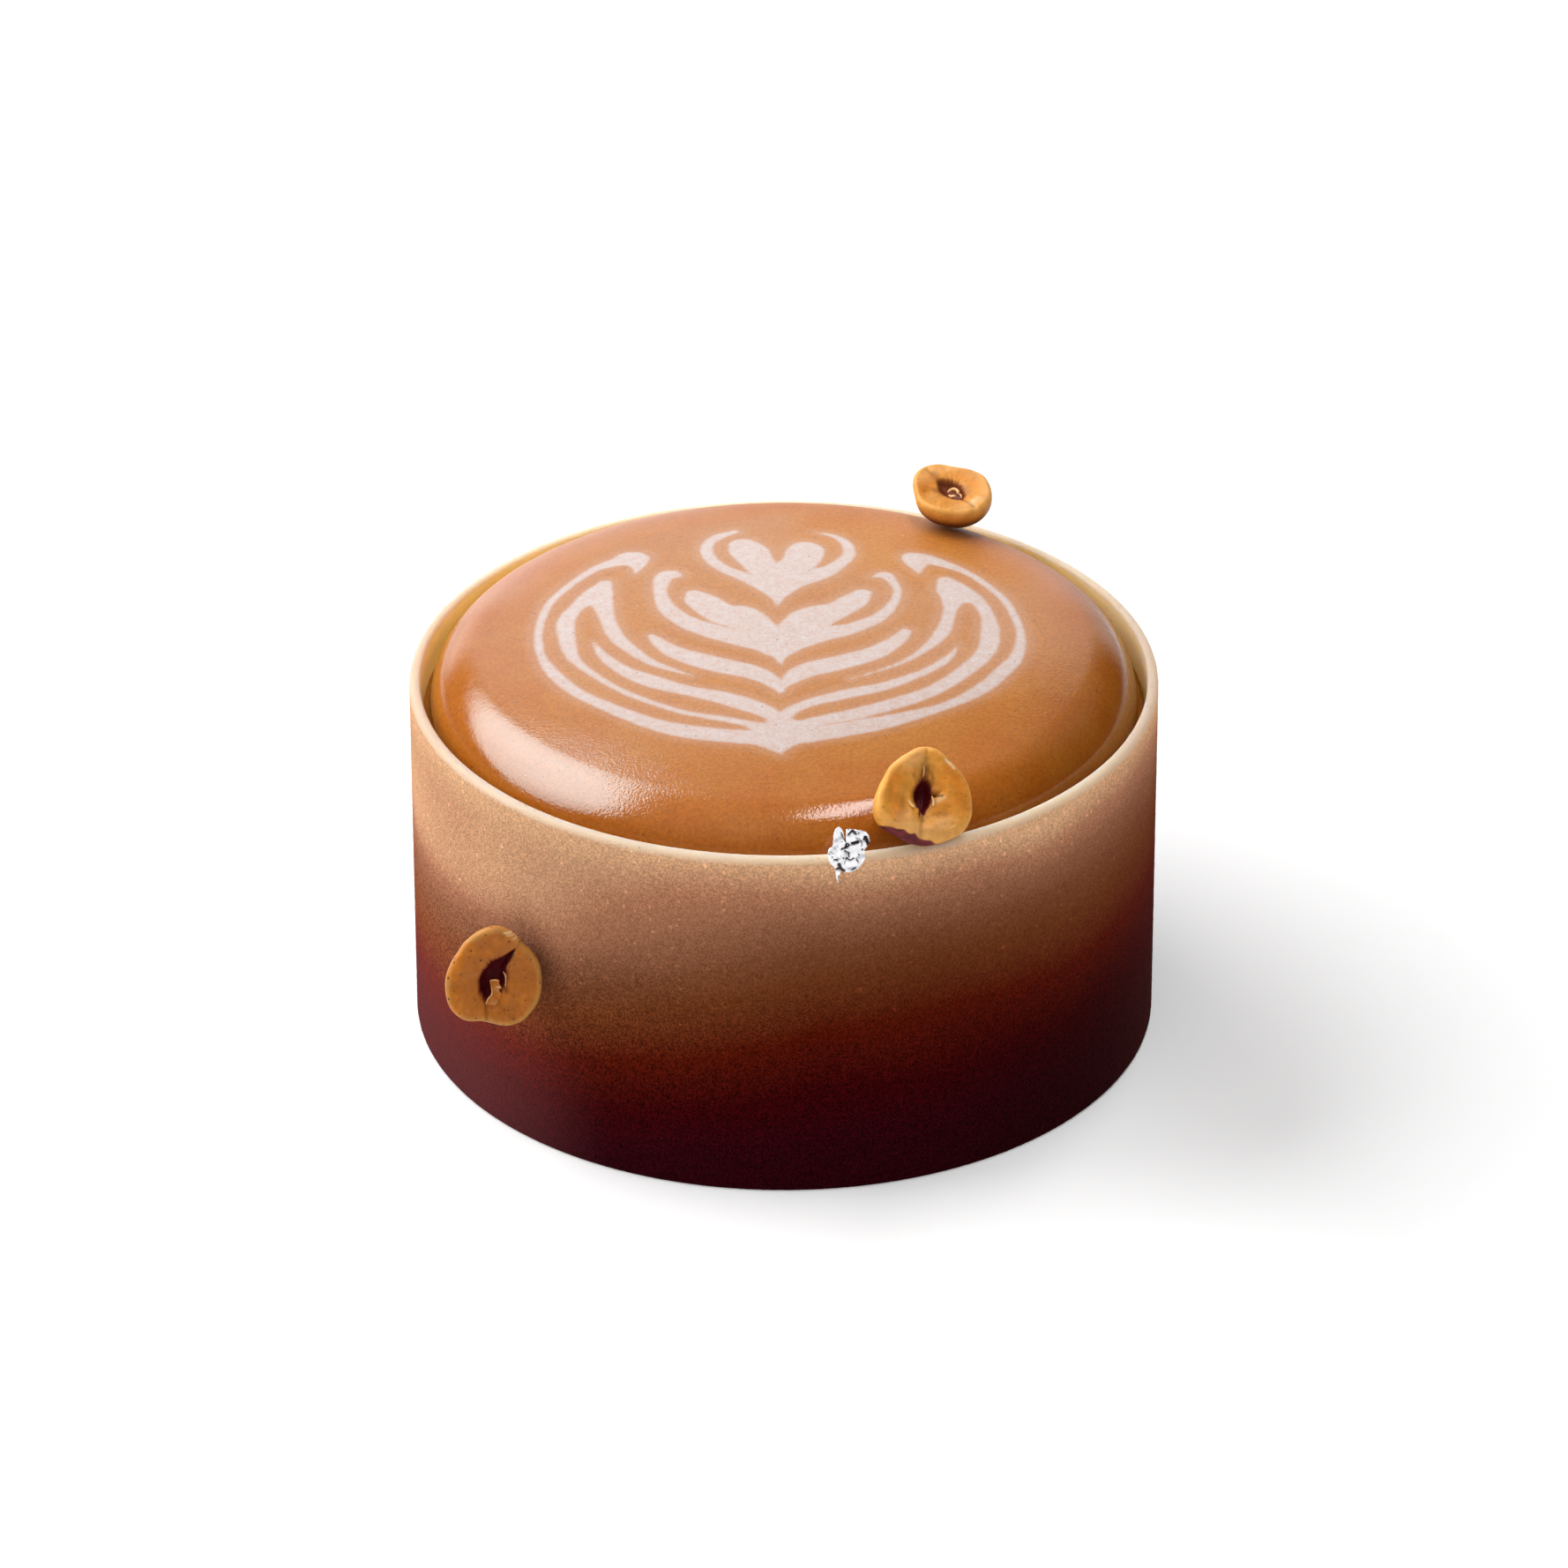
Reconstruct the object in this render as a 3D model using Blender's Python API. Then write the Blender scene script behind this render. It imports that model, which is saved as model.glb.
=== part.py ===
"""Hazelnut latte cake: a straight thin-walled ring filled to a glazed dome, with three hazelnut halves and a silver leaf.

Metres, +Z up. The origin is the centre of the foot, on the surface that the cake stands on.
-Y is the front. All sizes come from the driving dimensions below.
"""

import math

import bmesh
import bpy
from mathutils import Matrix, Vector

# Wall: a ring 120 mm across and 60.4 mm high
WALL_RADIUS = 0.0600
WALL_HEIGHT = 0.0604
WALL_THICKNESS = 0.0018
RIM_OUTER_ROUND = 0.0010
RIM_INNER_ROUND = 0.0005
FOOT_ROUND = 0.0006

# Filling: fills the ring to a ledge, then stands free of it as a low dome with a round shoulder
TOUCH_GAP = 0.0003
LEDGE_DROP = 0.0080
DOME_RADIUS = 0.0567
DOME_WIDEST_DROP = 0.0046
SHOULDER_ROUND = 0.0092
DOME_RISE = 0.0075

# Facets
TURNED_SEGMENTS = 96
ROUND_STEPS = 4
SHOULDER_STEPS = 8
CAP_STEPS = 6
KERNEL_SEGMENTS = 40
BACK_RINGS = 7
HOLLOW_SHARES = (0.45, 0.75, 0.93, 1.0)
FACE_SHARES = (0.06, 0.20, 0.38, 0.56, 0.74, 0.84, 0.92, 0.975, 1.0)

# Hazelnut halves: sizes in metres, angles in degrees.
# facing is the azimuth (0 is the front, positive to the right) and elevation of the cut face's normal.
# lobes are (share of the mean radius, direction) for 2, 3, 4 and 5 waves round the outline, 0 being up.
# hollow is the seed cavity: its middle across and up, half width, half length, depth and turn from up.
KERNELS = {
    "hazelnut_front": {
        "centre": (0.02203, -0.05400, 0.06870),
        "facing": (20, 47),
        "mean_radius": 0.00762,
        "depth": 0.0068,
        "lobes": ((0.010, -49), (0.070, 23), (0.026, 0), (0.009, -30)),
        "hollow": (-0.0002, 0.0003, 0.0016, 0.0032, 0.0036, 17),
    },
    "hazelnut_back": {
        "centre": (0.02744, 0.04332, 0.07121),
        "facing": (-25, 80),
        "mean_radius": 0.00680,
        "depth": 0.0060,
        "lobes": ((0.111, -61), (0.028, -60), (0.043, 30), (0.011, 13)),
        "hollow": (-0.0001, 0.0004, 0.0016, 0.0035, 0.0028, -52),
    },
    "hazelnut_side": {
        "centre": (-0.04540, -0.05131, 0.03373),
        "facing": (8, 15),
        "mean_radius": 0.00784,
        "depth": 0.0068,
        "lobes": ((0.021, -13), (0.056, 6), (0.018, -21), (0.024, 9)),
        "hollow": (0.0006, 0.0002, 0.0019, 0.0052, 0.0038, 31),
    },
}
FACE_EDGE_ROUND = 0.0014
FACE_DISH = 0.0008
SPLIT_DEPTH = 0.00035
HOLLOW_POINT = 1.6
BACK_FULLNESS = 0.10

# Silver leaf: a crumpled scrap laid over the front of the rim, its lower part on the wall, its upper part leaning in.
# The edge is (direction in degrees clockwise from up, reach in metres) round the scrap's middle.
LEAF_AZIMUTH = 9.3
LEAF_ABOVE_RIM = 0.0011
LEAF_EDGE = (
    (-177, 0.0034), (-169, 0.0033), (-163, 0.0053), (-158, 0.0039), (-148, 0.0040), (-136, 0.0034), (-121, 0.0031),
    (-105, 0.0032), (-90, 0.0032), (-75, 0.0028), (-59, 0.0025), (-43, 0.0031), (-28, 0.0038), (-18, 0.0038),
    (-11, 0.0018), (-3, 0.0033), (6, 0.0034), (25, 0.0035), (40, 0.0038), (57, 0.0041), (69, 0.0040), (80, 0.0030),
    (98, 0.0027), (120, 0.0029), (141, 0.0032), (153, 0.0031), (166, 0.0034),
)
LEAF_THICKNESS = 0.00025
LEAF_CRUMPLE = 0.00030
LEAF_LEAN = 22
LEAF_RINGS = 7

COLOURS = {
    "wall": (0.45, 0.20, 0.13),
    "filling": (0.62, 0.26, 0.08),
    "kernel": (0.66, 0.36, 0.11),
    "leaf": (0.85, 0.85, 0.88),
}


def clear_scene():
    for old in list(bpy.data.objects):
        bpy.data.objects.remove(old)


def finish_material(name, colour, roughness, metallic=0.0):
    material = bpy.data.materials.new(name)
    material.use_nodes = True
    shader = material.node_tree.nodes["Principled BSDF"]
    shader.inputs["Base Color"].default_value = (*colour, 1.0)
    shader.inputs["Roughness"].default_value = roughness
    shader.inputs["Metallic"].default_value = metallic
    return material


def arc(centre_r, centre_z, radius, start_deg, end_deg, steps):
    """Points (r, z) on an arc, measured from +R towards +Z."""
    points = []
    for i in range(steps + 1):
        angle = math.radians(start_deg + (end_deg - start_deg) * i / steps)
        points.append((centre_r + radius * math.cos(angle), centre_z + radius * math.sin(angle)))
    return points


def add_object(name, mesh_edit, material):
    bmesh.ops.recalc_face_normals(mesh_edit, faces=mesh_edit.faces)
    mesh = bpy.data.meshes.new(name)
    mesh_edit.to_mesh(mesh)
    mesh_edit.free()
    mesh.materials.append(material)
    mesh.shade_smooth()
    mesh.set_sharp_from_angle(angle=math.radians(40))
    made = bpy.data.objects.new(name, mesh)
    bpy.context.scene.collection.objects.link(made)
    return made


def ring_of(mesh_edit, radius, height):
    """A ring of vertices, or one vertex where the radius is nothing."""
    if radius < 1e-9:
        return [mesh_edit.verts.new((0.0, 0.0, height))]
    step = 2 * math.pi / TURNED_SEGMENTS
    return [
        mesh_edit.verts.new((radius * math.cos(i * step), radius * math.sin(i * step), height))
        for i in range(TURNED_SEGMENTS)
    ]


def bridge(mesh_edit, first, second):
    """Faces between two rings of equal count, or from a ring to a single vertex."""
    count = max(len(first), len(second))
    for i in range(count):
        j = (i + 1) % count
        corners = [first[i % len(first)], first[j % len(first)], second[j % len(second)], second[i % len(second)]]
        mesh_edit.faces.new(list(dict.fromkeys(corners)))


def turned(name, profile, closed, material):
    """A solid turned from (r, z) points; a closed profile gives a ring, an open one starts and ends on the axis."""
    mesh_edit = bmesh.new()
    rings = [ring_of(mesh_edit, r, z) for r, z in profile]
    for first, second in zip(rings, rings[1:]):
        bridge(mesh_edit, first, second)
    if closed:
        bridge(mesh_edit, rings[-1], rings[0])
    return add_object(name, mesh_edit, material)


def wall_profile():
    """Up the outside, over the rounded rim and down the inside."""
    inner = WALL_RADIUS - WALL_THICKNESS
    foot = arc(WALL_RADIUS - FOOT_ROUND, FOOT_ROUND, FOOT_ROUND, -90, 0, 2)
    outer_rim = arc(WALL_RADIUS - RIM_OUTER_ROUND, WALL_HEIGHT - RIM_OUTER_ROUND, RIM_OUTER_ROUND, 0, 90, ROUND_STEPS)
    inner_rim = arc(inner + RIM_INNER_ROUND, WALL_HEIGHT - RIM_INNER_ROUND, RIM_INNER_ROUND, 90, 180, ROUND_STEPS)
    return foot + outer_rim + inner_rim + [(inner, 0.0)]


def cap_radius():
    """The radius of the wide cap that meets the shoulder's arc and rises DOME_RISE over the rim."""
    reach = DOME_RADIUS - SHOULDER_ROUND
    climb = DOME_RISE + DOME_WIDEST_DROP
    return (reach**2 + climb**2 - SHOULDER_ROUND**2) / (2 * (climb - SHOULDER_ROUND))


def filling_profile():
    """From the foot's centre out to the wall, in over the ledge and up over the dome."""
    filled = WALL_RADIUS - WALL_THICKNESS - TOUCH_GAP
    ledge = WALL_HEIGHT - LEDGE_DROP
    widest = WALL_HEIGHT - DOME_WIDEST_DROP
    reach = DOME_RADIUS - SHOULDER_ROUND
    big = cap_radius()
    cap_centre = WALL_HEIGHT + DOME_RISE - big
    meet = math.degrees(math.atan2(widest - cap_centre, reach))
    shoulder = arc(reach, widest, SHOULDER_ROUND, 0, meet, SHOULDER_STEPS)
    cap = arc(0.0, cap_centre, big, meet, 90, CAP_STEPS)[1:-1]
    top = [(0.0, WALL_HEIGHT + DOME_RISE)]
    return [(0.0, 0.0), (filled, 0.0), (filled, ledge), (DOME_RADIUS, ledge)] + shoulder + cap + top


def outline_point(kernel, turn):
    """The cut face's edge in the direction turn, in radians clockwise from up."""
    waves = sum(
        share * math.cos((n + 2) * (turn - math.radians(direction)))
        for n, (share, direction) in enumerate(kernel["lobes"])
    )
    radius = kernel["mean_radius"] * (1 + waves)
    return radius * math.sin(turn), radius * math.cos(turn)


def hollow_point(kernel, turn):
    """The lens-shaped hollow's edge in the direction turn."""
    across, up, half_width, half_length, _, tilt_deg = kernel["hollow"]
    tilt = math.radians(tilt_deg)
    side = abs(math.sin(turn - tilt)) / half_width
    along = abs(math.cos(turn - tilt)) / half_length
    radius = (side**HOLLOW_POINT + along**HOLLOW_POINT) ** (-1 / HOLLOW_POINT)
    return across + radius * math.sin(turn), up + radius * math.cos(turn)


def face_rings(kernel, turns):
    """Rings of points on the cut face, from the bottom of the hollow out to the round edge."""
    across, up, _, _, depth, _ = kernel["hollow"]
    rings = [[(across, up, -FACE_DISH - depth)]]
    for share in HOLLOW_SHARES:
        height = -FACE_DISH - depth * math.sqrt(1 - share**2)
        edge = [hollow_point(kernel, turn) for turn in turns]
        rings.append([(across + share * (x - across), up + share * (y - up), height) for x, y in edge])
    for share in FACE_SHARES:
        ring = []
        for k, turn in enumerate(turns):
            inner = hollow_point(kernel, turn)
            outer = outline_point(kernel, turn)
            x, y = (a + share * (b - a) for a, b in zip(inner, outer))
            inward = 1 - min(1.0, (1 - share) * math.dist(inner, outer) / FACE_EDGE_ROUND)
            rounding = FACE_EDGE_ROUND * (1 - math.sqrt(1 - inward**2))
            split = SPLIT_DEPTH if k % (KERNEL_SEGMENTS // 2) == 0 and inward == 0 else 0.0
            ring.append((x, y, -FACE_DISH * (1 - share) ** 2 - rounding - split))
        rings.append(ring)
    return rings


def back_rings(kernel, turns):
    """Rings of points on the full round back, from the face's edge to its middle."""
    depth = kernel["depth"] - FACE_EDGE_ROUND
    edge = [outline_point(kernel, turn) for turn in turns]
    rings = []
    for i in range(1, BACK_RINGS):
        angle = math.pi / 2 * i / BACK_RINGS
        share = math.cos(angle) + BACK_FULLNESS * math.sin(2 * angle)
        height = -FACE_EDGE_ROUND - depth * math.sin(angle)
        rings.append([(share * x, share * y, height) for x, y in edge])
    return rings + [[(0.0, 0.0, -kernel["depth"])]]


def kernel_frame(kernel):
    """The cut face's frame: right, up and outward axes as columns, at its centre."""
    azimuth, elevation = (math.radians(v) for v in kernel["facing"])
    level = Vector((math.sin(azimuth), -math.cos(azimuth), 0.0))
    out = level * math.cos(elevation) + Vector((0, 0, math.sin(elevation)))
    up = -level * math.sin(elevation) + Vector((0, 0, math.cos(elevation)))
    frame = Matrix((up.cross(out), up, out)).transposed().to_4x4()
    frame.translation = kernel["centre"]
    return frame


def half_kernel(name, kernel, material):
    """Half a hazelnut: a cut face with a hollow in it, closed behind by a round back."""
    start = math.radians(kernel["hollow"][-1])
    turns = [start + 2 * math.pi * k / KERNEL_SEGMENTS for k in range(KERNEL_SEGMENTS)]
    mesh_edit = bmesh.new()
    rings = [
        [mesh_edit.verts.new(point) for point in ring]
        for ring in face_rings(kernel, turns) + back_rings(kernel, turns)
    ]
    for first, second in zip(rings, rings[1:]):
        bridge(mesh_edit, first, second)
    made = add_object(name, mesh_edit, material)
    made.matrix_world = kernel_frame(kernel)
    return made


def leaf_point(across, up, outward):
    """A point of the leaf: just outside the wall below the rim, leaning in above it, and crumpled all over."""
    azimuth = math.radians(LEAF_AZIMUTH) + across / WALL_RADIUS
    crumple = 0.5 * math.sin(2600 * across + 900 * up) + 0.5 * math.sin(1900 * up - 1500 * across + 1.3)
    stand_off = TOUCH_GAP + 0.5 * LEAF_THICKNESS + LEAF_CRUMPLE * (1 + crumple)
    above = LEAF_ABOVE_RIM + up
    lean = max(0.0, above) * math.tan(math.radians(LEAF_LEAN))
    radius = WALL_RADIUS + stand_off + outward - lean
    return radius * math.sin(azimuth), -radius * math.cos(azimuth), WALL_HEIGHT + above


def silver_leaf(name, material):
    """A thin wavy solid with a ragged edge: the same rings in front and behind, joined round the edge."""
    mesh_edit = bmesh.new()
    sides = []
    for outward in (0.5 * LEAF_THICKNESS, -0.5 * LEAF_THICKNESS):
        rings = [[mesh_edit.verts.new(leaf_point(0.0, 0.0, outward))]]
        for i in range(1, LEAF_RINGS + 1):
            ring = []
            for turn, reach in LEAF_EDGE:
                across = i / LEAF_RINGS * reach * math.sin(math.radians(turn))
                up = i / LEAF_RINGS * reach * math.cos(math.radians(turn))
                ring.append(mesh_edit.verts.new(leaf_point(across, up, outward)))
            rings.append(ring)
        for first, second in zip(rings, rings[1:]):
            bridge(mesh_edit, first, second)
        sides.append(rings)
    bridge(mesh_edit, sides[0][-1], sides[1][-1])
    bmesh.ops.triangulate(mesh_edit, faces=mesh_edit.faces, quad_method="FIXED")
    return add_object(name, mesh_edit, material)


def main():
    clear_scene()
    velvet = finish_material("velvet_wall", COLOURS["wall"], 0.8)
    glaze = finish_material("latte_glaze", COLOURS["filling"], 0.25)
    nut = finish_material("hazelnut_kernel", COLOURS["kernel"], 0.4)
    silver = finish_material("silver_leaf", COLOURS["leaf"], 0.2, 1.0)
    turned("wall", wall_profile(), True, velvet)
    turned("filling", filling_profile(), False, glaze)
    for name, kernel in KERNELS.items():
        half_kernel(name, kernel, nut)
    silver_leaf("silver_leaf", silver)


main()
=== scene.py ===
"""Looks of the hazelnut latte cake: velvet ring, glazed latte-art dome, hazelnut halves and silver leaf.

Metres, +Z up, -Y is the front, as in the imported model. Lengths times MM are given in millimetres.
"""

import math

import bmesh
import bpy
import numpy as np
from mathutils import Matrix, Vector
from mathutils.geometry import delaunay_2d_cdt


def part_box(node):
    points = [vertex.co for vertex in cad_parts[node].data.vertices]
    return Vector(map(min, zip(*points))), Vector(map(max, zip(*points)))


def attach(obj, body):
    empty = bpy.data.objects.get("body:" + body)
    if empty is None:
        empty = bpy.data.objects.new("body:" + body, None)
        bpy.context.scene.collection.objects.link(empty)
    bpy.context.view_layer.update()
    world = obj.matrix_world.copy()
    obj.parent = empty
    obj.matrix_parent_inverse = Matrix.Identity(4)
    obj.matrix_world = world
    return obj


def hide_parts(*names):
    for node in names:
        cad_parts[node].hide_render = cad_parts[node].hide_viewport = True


bl_info = {
    "name": "Hazelnut Latte Cake",
    "version": (1, 0, 0),
    "blender": (4, 5, 0),
    "location": "View3D > Sidebar > Latte Cake",
    "description": "Makes the velvet ring, glazed latte-art dome, hazelnut halves and silver leaf",
    "category": "Add Mesh",
}

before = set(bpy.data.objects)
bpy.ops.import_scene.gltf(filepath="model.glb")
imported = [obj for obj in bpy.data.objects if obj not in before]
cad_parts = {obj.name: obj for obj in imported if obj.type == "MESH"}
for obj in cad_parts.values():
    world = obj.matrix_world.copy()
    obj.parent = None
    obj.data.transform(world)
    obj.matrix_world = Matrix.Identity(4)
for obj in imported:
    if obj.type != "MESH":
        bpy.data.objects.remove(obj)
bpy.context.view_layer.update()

MM = 0.001
CM = 0.01

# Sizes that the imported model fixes
WALL_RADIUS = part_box("wall")[1][0]
WALL_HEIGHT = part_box("wall")[1][2]
WALL_THICKNESS = 1.8 * MM
RIM_OUTER_ROUND = 1.0 * MM
RIM_INNER_ROUND = 0.5 * MM
FOOT_ROUND = 0.6 * MM
TOUCH_GAP = 0.3 * MM
LEDGE_DROP = 8.0 * MM
DOME_RADIUS = 56.7 * MM
DOME_WIDEST_DROP = 4.6 * MM
SHOULDER_ROUND = 9.2 * MM
DOME_RISE = 7.5 * MM
FACE_DISH = 0.8

# Velvet colours by share of the wall's height, and the unit direction in which the spray leans, which the
# painted light, shade and sheen on the wall also follow
VELVET_BANDS = (
    (0.14, "foot"), (0.32, "wine"), (0.50, "rust"), (0.66, "umber"), (0.745, "brown"), (0.825, "tan"),
    (0.892, "sand"), (0.97, "cream"),
)
SPRAY_AND_PAINTED_LIGHT_SIDE = (-0.94, -0.342, 0.0)

# The coarse grain's fineness as a share of the fine one's, and distances that mean no foam or edge near
COARSE_SCALE = 0.37
NO_FOAM = 9.0
NO_EDGE = 9.0

# Rows of faces: up the wall, over the dome and its shoulder, and over the parts of a kernel
WALL_ROWS = 108
DOME_ROWS = 88
SHOULDER_ROWS = 26
HOLLOW_ROWS = 14
FACE_ROWS = 62
BACK_ROWS = 34

# The raised lip and the torn brown band round a kernel's hollow, in millimetres
LIP_HEIGHT = 0.15
LIP_WIDTH = 0.22
TORN_WIDTH = 0.35

# Shares of the sprayed relief on the rim and on the inside
RIM_RELIEF = 0.6
INSIDE_RELIEF = 0.12

# Colours that have no setting of their own
# The mauve haze low on the wall's left is painted sheen.
MAUVE_PAINTED_SHEEN = (0.16, 0.050, 0.050)
RIM_GRAIN = (0.62, 0.42, 0.24)
GLAZE_PORE = (0.10, 0.03, 0.012)
GLAZE_BUBBLE = (0.86, 0.66, 0.50)
# The glaze's pinkish veil at the back is a painted reflection.
GLAZE_PAINTED_REFLECTION = (0.48, 0.34, 0.34)
# Near-black marks on the kernels; the one in the front kernel's deep dent is painted shade.
NEAR_BLACK = (0.03, 0.006, 0.002)
# The leaf's grey on some facets is painted shade, and its glow is a painted glint.
SILVER_PAINTED_SHADE = (0.56, 0.55, 0.62)
SILVER_PAINTED_GLINT = (0.97, 0.96, 1.0)
SOFTBOX_TINT = (0.72, 0.95, 1.0)
WHITE = (1.0, 1.0, 1.0)
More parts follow.
